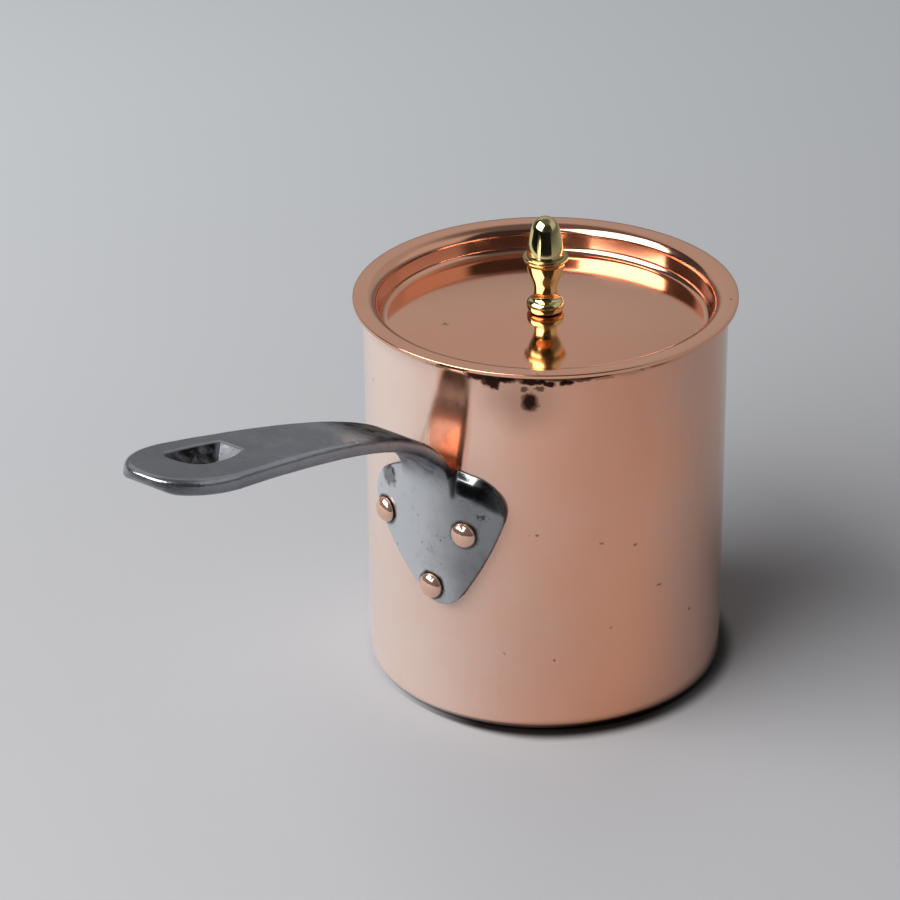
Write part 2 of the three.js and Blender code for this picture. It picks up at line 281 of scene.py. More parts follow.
class Wiring:
    """Adds and joins the nodes of one shader or node group."""

    def __init__(self, tree: bpy.types.NodeTree) -> None:
        """Takes the node tree that the nodes go into."""
        self.tree = tree

    def feed(self, socket: bpy.types.NodeSocket, value: Setting) -> None:
        """Joins another node's output to a socket, or sets the socket to a value.

        Args:
            socket: The socket.
            value: The output or the value.
        """
        if isinstance(value, bpy.types.NodeSocket):
            self.tree.links.new(value, socket)
        else:
            socket.default_value = value

    def add(
        self, kind: str, inputs: dict[str | int, Setting] | None = None, **settings: object
    ) -> bpy.types.Node:
        """Adds a node.

        Args:
            kind: The node's type in Blender.
            inputs: What goes into its sockets: another node's output or a value.
            **settings: The node's own properties.

        Returns:
            The node.
        """
        node = self.tree.nodes.new(kind)
        for key, value in settings.items():
            setattr(node, key, value)
        for key, value in (inputs or {}).items():
            self.feed(node.inputs[key], value)
        return node

    def sum(self, operation: str, *values: Setting, clamp: bool = False) -> bpy.types.NodeSocket:
        """Works out a number from one, two or three others.

        Args:
            operation: The name of the Math node's operation.
            *values: The numbers or outputs that it works on.
            clamp: Whether the result stays from 0 to 1.

        Returns:
            The output that holds the result.
        """
        inputs = dict(enumerate(values))
        return self.add("ShaderNodeMath", inputs, operation=operation, use_clamp=clamp).outputs[0]

    def times(self, first: Setting, second: Setting) -> bpy.types.NodeSocket:
        """Multiplies two numbers."""
        return self.sum("MULTIPLY", first, second)

    def plus(self, base: Setting, value: Setting, share: Setting) -> bpy.types.NodeSocket:
        """Adds a share of one number to another, the base."""
        return self.sum("MULTIPLY_ADD", value, share, base)

    def rest(self, share: Setting) -> bpy.types.NodeSocket:
        """Gives what a share leaves of 1, and never less than 0."""
        return self.sum("SUBTRACT", 1.0, share, clamp=True)

    def most(self, first: Setting, *others: Setting) -> Setting:
        """Gives the greatest of some numbers.

        Args:
            first: The first number.
            *others: The other ones.

        Returns:
            The output that holds the greatest.
        """
        greatest = first
        for other in others:
            greatest = self.sum("MAXIMUM", greatest, other)
        return greatest

    def vector(
        self, operation: str, *values: Setting, output: str = "Vector"
    ) -> bpy.types.NodeSocket:
        """Works out a vector, or a number from vectors.

        Args:
            operation: The name of the Vector Math node's operation.
            *values: The vectors or outputs that it works on.
            output: Which output holds the result, "Vector" or "Value".

        Returns:
            That output.
        """
        inputs = dict(enumerate(values))
        return self.add("ShaderNodeVectorMath", inputs, operation=operation).outputs[output]

    def ease(
        self, value: Setting, low: Setting, high: Setting, start: Setting = 0.0, end: Setting = 1.0
    ) -> bpy.types.NodeSocket:
        """Eases a number from one level to another.

        Args:
            value: The number to ease.
            low: Where it leaves the first level.
            high: Where it reaches the second.
            start: The first level.
            end: The second level.

        Returns:
            The output that holds the eased number.
        """
        inputs = {"Value": value, "From Min": low, "From Max": high, "To Min": start, "To Max": end}
        return self.add("ShaderNodeMapRange", inputs, interpolation_type="SMOOTHSTEP").outputs["Result"]

    def mix(self, share: Setting, first: Setting, second: Setting) -> bpy.types.NodeSocket:
        """Mixes two colours.

        Args:
            share: How much of the second colour shows.
            first: The first colour.
            second: The second colour.

        Returns:
            The output that holds the mixed colour.
        """
        inputs = {MIX_SHARE: share, MIX_FIRST: first, MIX_SECOND: second}
        return self.add("ShaderNodeMix", inputs, data_type="RGBA").outputs[MIX_RESULT]

    def group(self, tree: bpy.types.NodeTree, **inputs: Setting) -> bpy.types.NodeSocket:
        """Places a node group.

        Args:
            tree: The group, which has one output.
            **inputs: Its inputs, by their names.

        Returns:
            The group's output.
        """
        return self.add("ShaderNodeGroup", inputs, node_tree=tree).outputs[0]

    def mark(self, name: str) -> bpy.types.NodeSocket:
        """Gives how strongly a place on the mesh is marked with a name, from 0 to 1."""
        return self.add("ShaderNodeAttribute", attribute_name=name).outputs["Fac"]

    def place(self) -> bpy.types.NodeSocket:
        """Gives the place on the object, in metres."""
        return self.add("ShaderNodeTexCoord").outputs["Object"]

    def parts(self) -> tuple[bpy.types.NodeSocket, ...]:
        """Gives the X, Y and Z of the place on the object, in metres."""
        return tuple(self.add("ShaderNodeSeparateXYZ", {0: self.place()}).outputs)

    def along(self, way: Point) -> bpy.types.NodeSocket:
        """Gives how far out a place lies in a level direction.

        Args:
            way: The X and Y of the direction.

        Returns:
            The output that holds the distance, in metres.
        """
        x, y, _ = self.parts()
        return self.plus(self.times(x, way[0]), y, way[1])

    def from_axis(self) -> bpy.types.NodeSocket:
        """Gives how far a place lies from the upright axis, in metres."""
        x, y, _ = self.parts()
        return self.sum("SQRT", self.sum("ADD", self.times(x, x), self.times(y, y)))

    def noise(self, scale: Setting, detail: float) -> bpy.types.NodeSocket:
        """Gives smooth random numbers from 0 to 1 over the object.

        Args:
            scale: How many waves a metre has.
            detail: How many finer layers they have.

        Returns:
            The output that holds them.
        """
        inputs = {"Vector": self.place(), "Scale": scale, "Detail": detail}
        return self.add("ShaderNodeTexNoise", inputs).outputs[0]

    def hand_out(self, value: bpy.types.NodeSocket) -> bpy.types.NodeTree:
        """Ends a node group.

        Args:
            value: What the group's one output gives.

        Returns:
            The finished group.
        """
        self.add("NodeGroupOutput", {0: value})
        return self.tree


def start_group(
    name: str, inputs: dict[str, float | tuple[float, ...]], output: str
) -> tuple[Wiring, bpy.types.bpy_prop_collection]:
    """Starts a node group with named sockets.

    Args:
        name: The group's name.
        inputs: Each input's name and its usual value, a number or a vector.
        output: The name of the one output, a number.

    Returns:
        The group's wiring, and the outputs that hold what it is given.
    """
    tree = bpy.data.node_groups.new(name, "ShaderNodeTree")
    for label, usual in inputs.items():
        kind = "NodeSocketFloat" if isinstance(usual, float) else "NodeSocketVector"
        tree.interface.new_socket(label, in_out="INPUT", socket_type=kind).default_value = usual
    tree.interface.new_socket(output, in_out="OUTPUT", socket_type="NodeSocketFloat")
    wiring = Wiring(tree)
    return wiring, wiring.add("NodeGroupInput").outputs


def turning_marks_group() -> bpy.types.NodeTree:
    """Builds the fine rings that polishing on a lathe or wheel leaves.

    Returns:
        A group whose Marks run round the Z axis.
    """
    wiring, given = start_group("turning_marks", {"Round": 4.0, "Fineness": 900.0}, "Marks")
    x, y, height = wiring.parts()
    radius = wiring.most(wiring.from_axis(), 1e-5)
    east = wiring.times(wiring.sum("DIVIDE", x, radius), given["Round"])
    north = wiring.times(wiring.sum("DIVIDE", y, radius), given["Round"])
    across = wiring.times(wiring.sum("SUBTRACT", radius, height), given["Fineness"])
    spot = wiring.add("ShaderNodeCombineXYZ", {0: east, 1: north, 2: across}).outputs[0]
    inputs = {"Vector": spot, "Scale": 1.0, "Detail": 3.0, "Roughness": 0.6}
    return wiring.hand_out(wiring.add("ShaderNodeTexNoise", inputs).outputs[0])


def clouds_group() -> bpy.types.NodeTree:
    """Builds soft uneven patches.

    Returns:
        A group whose Mask rises from 0 to 1 inside the patches.
    """
    usual = {"Scale": 40.0, "Low": 0.4, "High": 0.65, "Seed": 0.0}
    wiring, given = start_group("clouds", usual, "Mask")
    inputs = {
        "Vector": wiring.place(),
        "W": given["Seed"],
        "Scale": given["Scale"],
        "Detail": 4.0,
        "Roughness": 0.55,
        "Distortion": 0.4,
    }
    cloud = wiring.add("ShaderNodeTexNoise", inputs, noise_dimensions="4D").outputs[0]
    return wiring.hand_out(wiring.ease(cloud, given["Low"], given["High"]))


def specks_group() -> bpy.types.NodeTree:
    """Builds small scattered pits and specks.

    Returns:
        A group whose Mask is 1 in a speck. Share says how many places have one.
    """
    wiring, given = start_group("specks", {"Scale": 300.0, "Share": 0.1, "Size": 0.25}, "Mask")
    push = (0.6 * MM, 0.6 * MM, 0.6 * MM)
    inputs = {"Vector": wiring.place(), "Scale": given["Scale"], "Detail": 2.0}
    wobble = wiring.add("ShaderNodeTexNoise", inputs).outputs["Color"]
    pushed = wiring.vector("MULTIPLY_ADD", wobble, push, wiring.place())
    cells = wiring.add("ShaderNodeTexVoronoi", {"Vector": pushed, "Scale": given["Scale"]}).outputs
    chance = wiring.add("ShaderNodeSeparateXYZ", {0: cells["Color"]}).outputs
    chosen = wiring.sum("LESS_THAN", chance[0], given["Share"])
    size = wiring.times(given["Size"], wiring.sum("ADD", 0.4, chance[1]))
    inside = wiring.sum("SUBTRACT", size, cells["Distance"])
    soft = wiring.sum("DIVIDE", inside, wiring.times(size, 0.5), clamp=True)
    return wiring.hand_out(wiring.times(soft, chosen))


def ring_group() -> bpy.types.NodeTree:
    """Builds a soft ring round a place, such as grime round a rivet.

    Returns:
        A group whose Mask is 1 up to the ring.
    """
    usual = {"Centre": (0, 0, 0), "Radius": 5 * MM, "Width": 1 * MM}
    wiring, given = start_group("ring", usual, "Mask")
    distance = wiring.vector("DISTANCE", wiring.place(), given["Centre"], output="Value")
    reach = wiring.plus(distance, wiring.noise(500.0, 3.0), given["Width"])
    off = wiring.sum("DIVIDE", wiring.sum("SUBTRACT", reach, given["Radius"]), given["Width"])
    return wiring.hand_out(wiring.rest(off))


def blot_group() -> bpy.types.NodeTree:
    """Builds a ragged blot at a place, such as a stain or a painted dark reflection.

    Returns:
        A group whose Mask is 1 in the blot. Size holds half its breadth each way.
    """
    usual = {
        "Centre": (0, 0, 0),
        "Size": (MM, MM, MM),
        "Fineness": 600.0,
        "Soft": 0.25,
        "Ragged": 1.0,
    }
    edge, tear = 1.05, 1.8
    wiring, given = start_group("blot", usual, "Mask")
    offset = wiring.vector("SUBTRACT", wiring.place(), given["Centre"])
    scaled = wiring.vector("DIVIDE", offset, given["Size"])
    away = wiring.vector("LENGTH", scaled, output="Value")
    torn = wiring.sum("SUBTRACT", wiring.noise(given["Fineness"], 4.0), 0.5)
    ragged = wiring.plus(away, torn, wiring.times(given["Ragged"], tear))
    full = wiring.sum("SUBTRACT", edge, given["Soft"])
    return wiring.hand_out(wiring.ease(ragged, edge, full))


def sheen_film_group() -> bpy.types.NodeTree:
    """Builds a pale veil of painted sheen, thickest on the side that the window lights, and a thinner painted
    reflection of the pale floor on the far side.

    Returns:
        A group whose Mask rises to Most from Low to High, two distances out to the thick side.
    """
    usual = {"Low": 0.0, "High": 50 * MM, "Most": 0.5}
    drift = 22 * MM
    thin_start, thin_end, thin_share = -28 * MM, -54 * MM, 0.4
    wiring, given = start_group("sheen_film", usual, "Mask")
    cloud = wiring.sum("SUBTRACT", wiring.noise(45.0, 5.0), 0.5)
    out = wiring.plus(wiring.along(TOWARDS_LIGHT), cloud, drift)
    thick = wiring.ease(out, given["Low"], given["High"], 0.0, given["Most"])
    # On the far side, a thinner painted reflection of the pale floor
    thin = wiring.ease(out, thin_start, thin_end, 0.0, wiring.times(given["Most"], thin_share))
    return wiring.hand_out(wiring.most(thick, thin))


@dataclass(frozen=True)
class Blot:
    """A stain, speck or crust, a painted dark reflection or a gap in the painted sheen on a round wall, with
    half its breadth and half its height in millimetres.
    """

    turn: float
    height: float
    across: float
    up: float
    fineness: float = 900.0
    soft: float = 0.4
    strength: float = 1.0
    ragged: float = 1.0

    def centre(self, radius: float) -> Vector:
        """Finds its middle.

        Args:
            radius: The wall's radius, in millimetres.

        Returns:
            The place in metres. The turn is counted in degrees from the handle, towards +Y.
        """
        angle = math.pi - math.radians(self.turn)
        return Vector((radius * math.cos(angle), radius * math.sin(angle), self.height)) * MM


@dataclass(frozen=True)
class Workshop:
    """The effects that more than one finish uses, each built once."""

    turning_marks: bpy.types.NodeTree = field(default_factory=turning_marks_group)
    clouds: bpy.types.NodeTree = field(default_factory=clouds_group)
    specks: bpy.types.NodeTree = field(default_factory=specks_group)
    ring: bpy.types.NodeTree = field(default_factory=ring_group)
    blot: bpy.types.NodeTree = field(default_factory=blot_group)
    # A pale veil of painted sheen and painted reflection
    sheen_film: bpy.types.NodeTree = field(default_factory=sheen_film_group)

    def blots(self, wiring: Wiring, radius: float, marks: Sequence[Blot]) -> Setting:
        """Places a group for each blot on a round wall.

        Args:
            wiring: The material's wiring.
            radius: The wall's radius, in millimetres.
            marks: The blots.

        Returns:
            The output that is 1 in any of them, or 0 where there are none.
        """
        mask: Setting = 0.0
        for mark in marks:
            found = wiring.group(
                self.blot,
                Centre=mark.centre(radius),
                Size=Vector((mark.across, mark.across, mark.up)) * MM,
                Fineness=mark.fineness,
                Soft=mark.soft,
                Ragged=mark.ragged,
            )
            mask = wiring.most(mask, wiring.times(found, mark.strength))
        return mask


def start_material(name: str, metallic: float) -> tuple[bpy.types.Material, Wiring, bpy.types.Node]:
    """Starts a material with one Principled shader.

    Args:
        name: The material's name.
        metallic: Whether the surface is a metal, as 0 or 1.

    Returns:
        The material, its wiring and its shader.
    """
    material = bpy.data.materials.new(name)
    material.use_nodes = True
    shader = material.node_tree.nodes["Principled BSDF"]
    shader.inputs["Metallic"].default_value = metallic
    return material, Wiring(material.node_tree), shader


def join(
    wiring: Wiring,
    shader: bpy.types.Node,
    colour: Setting,
    roughness: Setting,
    height: Setting,
    depth: float,
) -> None:
    """Joins a surface's colour, roughness and relief to its shader.

    Args:
        wiring: The material's wiring.
        shader: The material's shader.
        colour: The varying colour.
        roughness: The varying roughness.
        height: The relief, from 0 to 1.
        depth: How deep a relief of 1 is, in metres.
    """
    bump = wiring.add("ShaderNodeBump", {"Height": height, "Distance": depth, "Strength": 1.0})
    wiring.feed(shader.inputs["Base Color"], colour)
    wiring.feed(shader.inputs["Roughness"], roughness)
    wiring.feed(shader.inputs["Normal"], bump.outputs[0])


def lay_sheen_film(
    wiring: Wiring,
    shader: bpy.types.Node,
    colour: Setting,
    sheen_film: Setting,
    grime: Setting,
    sheen_film_colour: Colour,
) -> bpy.types.NodeSocket:
    """Lays a pale veil of painted sheen over a metal, which scatters the light without a tint.

    Args:
        wiring: The material's wiring.
        shader: The material's shader.
        colour: The metal's colour.
        sheen_film: How much of the metal the painted sheen hides.
        grime: How much of it is left bare of the sheen, under marks and in gaps.
        sheen_film_colour: The painted sheen's own colour.

    Returns:
        The output that holds the metal's colour with the painted sheen over it.
    """
    shown = wiring.times(sheen_film, wiring.rest(grime))
    wiring.feed(shader.inputs["Metallic"], wiring.rest(shown))
    return wiring.mix(wiring.sum("MULTIPLY", shown, 1.3, clamp=True), colour, sheen_film_colour)


@dataclass(frozen=True)
class CopperFinish:
    """Polished copper, with faint rubbing marks, tarnished specks, and painted sheen, reflection and shade.
    """

    name: str
    colour: Colour = (0.93, 0.50, 0.335, 1)
    warmer: Colour = (0.90, 0.44, 0.27, 1)
    # Colour of tarnished specks, and of the painted dark reflections under the rim
    tarnish_and_dark_reflection: Colour = (0.020, 0.009, 0.007, 1)
    # Colour of the painted shade at the foot, the floor's shadow mirrored there, partly tarnished
    foot_shade_and_tarnish: Colour = (0.060, 0.014, 0.008, 1)
    # Colour of the pale veil of painted sheen
    sheen_film_colour: Colour = (0.65, 0.63, 0.595, 1)
    roughness: float = 0.14
    ring_fineness: float = 500.0
    ring_relief: float = 0.0006 * MM
    speck_share: float = 0.035
    # How strong the painted sheen is, and its reach out to the lit side
    sheen_film: float = 0.0
    sheen_reach: Point = (-29.0, 60.0)
    # Heights of a band of painted dark reflection just under the lid
    rim_reflection_band: Point | None = None
    # Heights of the painted shade at the foot, and how much taller it stands away from the light
    foot_shade_band: Point | None = None
    foot_shade_spread: float = 1.7
    foot_shade_reach: float = 40.0
    radius: float = 0.0
    blots: tuple[Blot, ...] = ()
    # Patches kept bare of the painted sheen, where the handle's reflection shows on the wall
    rubbed: tuple[Blot, ...] = ()

    def build(self, workshop: Workshop) -> bpy.types.Material:
        """Builds the material.

        Args:
            workshop: The shared effects.

        Returns:
            The material.
        """
        material, wiring, shader = start_material(self.name, 1.0)
        marks = wiring.group(workshop.turning_marks, Round=6.0, Fineness=self.ring_fineness)
        warm = wiring.group(workshop.clouds, Scale=26.0, Low=0.38, High=0.68, Seed=1.0)
        haze = wiring.group(workshop.clouds, Scale=60.0, Low=0.45, High=0.75, Seed=3.0)
        # Tarnished specks, and the painted dark reflections under the rim that come as blots
        specks = wiring.group(workshop.specks, Scale=220.0, Share=self.speck_share, Size=0.13)
        blots = workshop.blots(wiring, self.radius, self.blots)
        grime = wiring.most(wiring.times(specks, 0.6), blots)
        height = wiring.parts()[2]
        # A band of painted dark reflection, in patches, just under the lid
        if self.rim_reflection_band:
            low, high = self.rim_reflection_band
            band = wiring.ease(height, low * MM, high * MM)
            patch = wiring.group(workshop.clouds, Scale=80.0, Low=0.52, High=0.58, Seed=7.0)
            grime = wiring.most(grime, wiring.times(band, patch))
        colour = wiring.mix(wiring.times(warm, 0.35), self.colour, self.warmer)
        # Painted shade at the foot: the floor's shadow mirrored there, partly tarnished, taller away from the
        # light
        if self.foot_shade_band:
            low, high = self.foot_shade_band
            out, far = wiring.along(TOWARDS_LIGHT), -self.foot_shade_reach * MM
            reach = wiring.ease(out, 0.0, far, 1.0, self.foot_shade_spread)
            band = wiring.ease(wiring.sum("DIVIDE", height, reach), high * MM, low * MM)
            colour = wiring.mix(wiring.times(band, band), colour, self.foot_shade_and_tarnish)
        # Painted sheen, thickest on the lit side, left off where the handle's reflection falls
        if self.sheen_film:
            low, high = self.sheen_reach
            sheen_film = wiring.group(workshop.sheen_film, Low=low * MM, High=high * MM, Most=self.sheen_film)
            bare = wiring.most(grime, workshop.blots(wiring, self.radius, self.rubbed))
            colour = lay_sheen_film(wiring, shader, colour, sheen_film, bare, self.sheen_film_colour)
        # Darkens the specks and paints the dark reflections
        colour = wiring.mix(wiring.times(grime, 0.98), colour, self.tarnish_and_dark_reflection)
        rough = wiring.plus(wiring.plus(self.roughness, haze, 0.05), grime, 0.25)
        join(wiring, shader, colour, rough, wiring.plus(marks, grime, -4.0), self.ring_relief)
        return material


@dataclass(frozen=True)
class IronFinish:
    """Forged and polished iron, stained, pitted, heat-tinted and filed smoother on the lobes' tops, with
    painted sheen, shade and a dark reflection.
    """

    name: str
    rivet_centres: tuple[Vector, ...]
    rivet_radius: float
    colour: Colour = (0.505, 0.52, 0.565, 1)
    tip_colour: Colour = (0.38, 0.39, 0.425, 1)
    lug_colour: Colour = (0.25, 0.255, 0.265, 1)
    stain: Colour = (0.075, 0.075, 0.085, 1)
    pit: Colour = (0.022, 0.020, 0.019, 1)
    # Colour of unpolished scale, which also paints shade on the lug's side walls
    scale: Colour = (0.016, 0.014, 0.013, 1)
    heat: Colour = (0.048, 0.048, 0.085, 1)
    # Colour of the painted dark reflection on the arm's top near its root
    painted_reflection_colour: Colour = (0.018, 0.013, 0.010, 1)
    # Colour of the pale veil of painted sheen
    sheen_film_colour: Colour = (0.66, 0.685, 0.715, 1)
    roughness: float = 0.20
    # The painted sheen: its strength, its reach to the lit side and up the lug, and the least of it all over
    sheen_film: float = 0.49
    sheen_reach: Point = (21.0, 40.0)
    sheen_top: Point = (96.0, 108.0)
    sheen_least: float = 0.05
    tip_reach: Point = (-135.0, -175.0)
    ring_gap: float = 0.6
    ring_width: float = 1.2
    relief: float = 0.002 * MM
    radius: float = 63.0
    blots: tuple[Blot, ...] = ()
    crusts: tuple[Blot, ...] = ()

    def build(self, workshop: Workshop) -> bpy.types.Material:
        """Builds the material.

        Args:
            workshop: The shared effects.

        Returns:
            The material.
        """
        material, wiring, shader = start_material(self.name, 1.0)
        hollow, scale_and_shade, heated, painted_reflection, filed = (wiring.mark(name) for name in HANDLE_MARKS)
        broad = wiring.group(workshop.clouds, Scale=55.0, Low=0.50, High=0.70, Seed=2.0)
        fine = wiring.group(workshop.clouds, Scale=260.0, Low=0.42, High=0.7, Seed=5.0)
        lengthwise, _, height = wiring.parts()
        grime = wiring.most(
            self._pits(wiring, workshop),
            self._rings(wiring, workshop),
            wiring.times(hollow, 0.8),
            workshop.blots(wiring, self.radius, self.crusts),
        )

        # Stains, the colours of heat, and a painted dark reflection on the arm's top
        uneven = wiring.plus(0.4, fine, 0.6)
        stained = wiring.most(
            wiring.times(wiring.times(broad, uneven), 0.42),
            wiring.times(workshop.blots(wiring, self.radius, self.blots), uneven),
        )
        mottled = wiring.times(wiring.times(heated, wiring.plus(0.7, fine, 0.3)), wiring.rest(filed))
        painted_reflection_share = wiring.sum("MULTIPLY", painted_reflection, wiring.plus(0.85, fine, 0.15), clamp=True)

        # The painted sheen, which lies on the lug and leaves marked places bare
        near, far = self.sheen_reach
        full, none = self.sheen_top
        on_lug = wiring.ease(height, none * MM, full * MM)
        sheen_film = wiring.group(workshop.sheen_film, Low=near * MM, High=far * MM, Most=self.sheen_film)
        sheen_film = wiring.most(wiring.times(sheen_film, on_lug), self.sheen_least)
        marked = wiring.most(stained, mottled, painted_reflection, scale_and_shade)
        bare = wiring.most(grime, wiring.times(marked, 0.92), filed)

        # Colour, from the clean metal to what lies on it
        start, end = self.tip_reach
        at_tip = wiring.ease(lengthwise, start * MM, end * MM)
        colour = wiring.mix(at_tip, self.colour, self.tip_colour)
        colour = wiring.mix(on_lug, colour, self.lug_colour)
        colour = wiring.mix(stained, colour, self.stain)
        colour = wiring.mix(mottled, colour, self.heat)
        # The painted dark reflection on the arm's top near its root
        colour = wiring.mix(painted_reflection_share, colour, self.painted_reflection_colour)
        colour = lay_sheen_film(wiring, shader, colour, sheen_film, bare, self.sheen_film_colour)
        colour = wiring.mix(wiring.times(grime, 0.92), colour, self.pit)
        # Unpolished scale on the sides and underside, partly painted shade, most on the lug's side walls
        colour = wiring.mix(wiring.times(scale_and_shade, wiring.plus(1.0, fine, -0.4)), colour, self.scale)

        # Roughness and relief
        rough: Setting = self.roughness
        for mask, change in (
            (fine, 0.07),
            (stained, 0.15),
            (grime, 0.3),
            (filed, -0.10),
            (scale_and_shade, 0.4),
            (mottled, 0.25),
            (painted_reflection_share, 0.65),
        ):
            rough = wiring.plus(rough, mask, change)
        crusted = wiring.times(scale_and_shade, wiring.times(fine, 60.0))
        relief = wiring.plus(wiring.sum("ADD", self._grain(wiring), crusted), grime, -7.0)
        join(wiring, shader, colour, rough, relief, self.relief)
        return material

    def _pits(self, wiring: Wiring, workshop: Workshop) -> bpy.types.NodeSocket:
        """Strews small pits over some patches of the iron.

        Args:
            wiring: The material's wiring.
            workshop: The shared effects.

        Returns:
            The output that holds how much grime lies in them.
        """
        few = wiring.group(workshop.clouds, Scale=70.0, Low=0.46, High=0.6, Seed=9.0)
        pits = wiring.group(workshop.specks, Scale=800.0, Share=0.14, Size=0.27)
        pits = wiring.sum("MULTIPLY", pits, wiring.plus(0.15, few, 0.8), clamp=True)
        return wiring.times(pits, 0.7)

    def _rings(self, wiring: Wiring, workshop: Workshop) -> Setting:
        """Lays a ring of grime round each rivet.

        Args:
            wiring: The material's wiring.
            workshop: The shared effects.

        Returns:
            The output that is 1 on the rings.
        """
        radius, width = (self.rivet_radius + self.ring_gap) * MM, self.ring_width * MM
        return wiring.most(*(
            wiring.group(workshop.ring, Centre=centre, Radius=radius, Width=width)
            for centre in self.rivet_centres
        ))

    @staticmethod
    def _grain(wiring: Wiring) -> bpy.types.NodeSocket:
        """Draws the fine lines that rubbing along the bar leaves.

        Args:
            wiring: The material's wiring.

        Returns:
            The output that holds their height.
        """
        stretched = {"Vector": wiring.place(), "Scale": (60.0, 900.0, 900.0)}
        rubbed = wiring.add("ShaderNodeMapping", stretched).outputs[0]
        lines = {"Vector": rubbed, "Scale": 1.0, "Detail": 3.0}
        return wiring.add("ShaderNodeTexNoise", lines).outputs[0]


@dataclass(frozen=True)
class BrassFinish:
    """Turned and polished brass, with grime left in its grooves."""

    name: str
    colour: Colour = (0.84, 0.70, 0.33, 1)
    grime: Colour = (0.20, 0.12, 0.03, 1)
    roughness: float = 0.07
    relief: float = 0.0006 * MM

    def build(self, workshop: Workshop) -> bpy.types.Material:
        """Builds the material.

        Args:
            workshop: The shared effects.

        Returns:
            The material.
        """
        material, wiring, shader = start_material(self.name, 1.0)
        marks = wiring.group(workshop.turning_marks, Round=3.0, Fineness=1800.0)
        patch = wiring.group(workshop.clouds, Scale=220.0, Low=0.52, High=0.75, Seed=4.0)
        grooves = wiring.times(wiring.mark("hollow"), 0.55)
        dull = wiring.sum("MULTIPLY_ADD", patch, 0.12, grooves, clamp=True)
        colour = wiring.mix(dull, self.colour, self.grime)
        join(wiring, shader, colour, wiring.plus(self.roughness, dull, 0.25), marks, self.relief)
        return material


@dataclass(frozen=True)
class TinFinish:
    """Tin wiped over copper while molten: grey, streaked and softly uneven."""

    name: str
    colour: Colour = (0.62, 0.61, 0.59, 1)
    dull: Colour = (0.36, 0.355, 0.35, 1)
    roughness: float = 0.3
    relief: float = 0.02 * MM

    def build(self, workshop: Workshop) -> bpy.types.Material:
        """Builds the material.

        Args:
            workshop: The shared effects.

        Returns:
            The material.
        """
        material, wiring, shader = start_material(self.name, 1.0)
        wipes = wiring.group(workshop.turning_marks, Round=9.0, Fineness=130.0)
        patch = wiring.group(workshop.clouds, Scale=48.0, Low=0.40, High=0.72, Seed=6.0)
        specks = wiring.group(workshop.specks, Scale=240.0, Share=0.05, Size=0.2)
        streaks = wiring.sum("MULTIPLY_ADD", wipes, 0.35, wiring.times(patch, 0.45), clamp=True)
        share = wiring.most(streaks, specks)
        colour = wiring.mix(share, self.colour, self.dull)
        join(wiring, shader, colour, wiring.plus(self.roughness, share, 0.25), wipes, self.relief)
        return material


@dataclass(frozen=True)
class PaperFinish:
    """The pale paper under the pan, painted paler farther from the camera, with a painted shadow line along
    the near side of the foot.
    """

    foot_radius: float
    name: str = "paper"
    colour: Colour = (0.482, 0.484, 0.500, 1)
    # Painted light: the paper's colour farther from the camera, and over what reach it takes over
    far_lit_colour: Colour = (0.642, 0.670, 0.690, 1)
    far_lit_reach: float = 0.75
    # The painted shadow line along the foot: its colour, widths, core and where it fades
    shadow_line_colour: Colour = (0.010, 0.005, 0.004, 1)
    line_width: Point = (7.0, 0.5)
    line_narrowing: Point = (-5.0, 50.0)
    line_core: float = 0.11
    line_end: Point = (56.0, 20.0)
    line_right: Point = (-62.0, -30.0)
    line_right_share: float = 0.80

    def build(self) -> bpy.types.Material:
        """Builds the material.

        Returns:
            The material.
        """
        material, wiring, shader = start_material(self.name, 0.0)
        shader.inputs["Roughness"].default_value = 0.9
        shader.inputs["Specular IOR Level"].default_value = 0.2
        darker = tuple(0.95 * part for part in self.colour[:3]) + (1,)
        colour = wiring.mix(wiring.noise(7.0, 3.0), self.colour, darker)
        # Painted light: paler farther from the camera
        behind = wiring.ease(wiring.along(AWAY), 0.0, self.far_lit_reach)
        colour = wiring.mix(behind, colour, self.far_lit_colour)
        colour = wiring.mix(self._shadow_line(wiring), colour, self.shadow_line_colour)
        wiring.feed(shader.inputs["Base Color"], colour)
        return material

    def _shadow_line(self, wiring: Wiring) -> bpy.types.NodeSocket:
        """Draws the painted shadow line along the foot, which narrows and ends on the far side.

        Args:
            wiring: The material's wiring.

        Returns:
            The output that is 1 on the line.
        """
        past = wiring.sum("SUBTRACT", wiring.from_axis(), self.foot_radius * MM)
        out = wiring.along(TOWARDS_LIGHT)

        def fade(reach: Point, start: float = 0.0, end: float = 1.0) -> bpy.types.NodeSocket:
            """Eases from one level to another over a reach in millimetres."""
            return wiring.ease(out, reach[0] * MM, reach[1] * MM, start, end)

        wide, narrow = self.line_width
        width = fade(self.line_narrowing, wide * MM, narrow * MM)
        line = wiring.ease(past, width, wiring.times(width, self.line_core))
        line = wiring.times(line, fade(self.line_end))
        return wiring.times(line, fade(self.line_right, self.line_right_share))


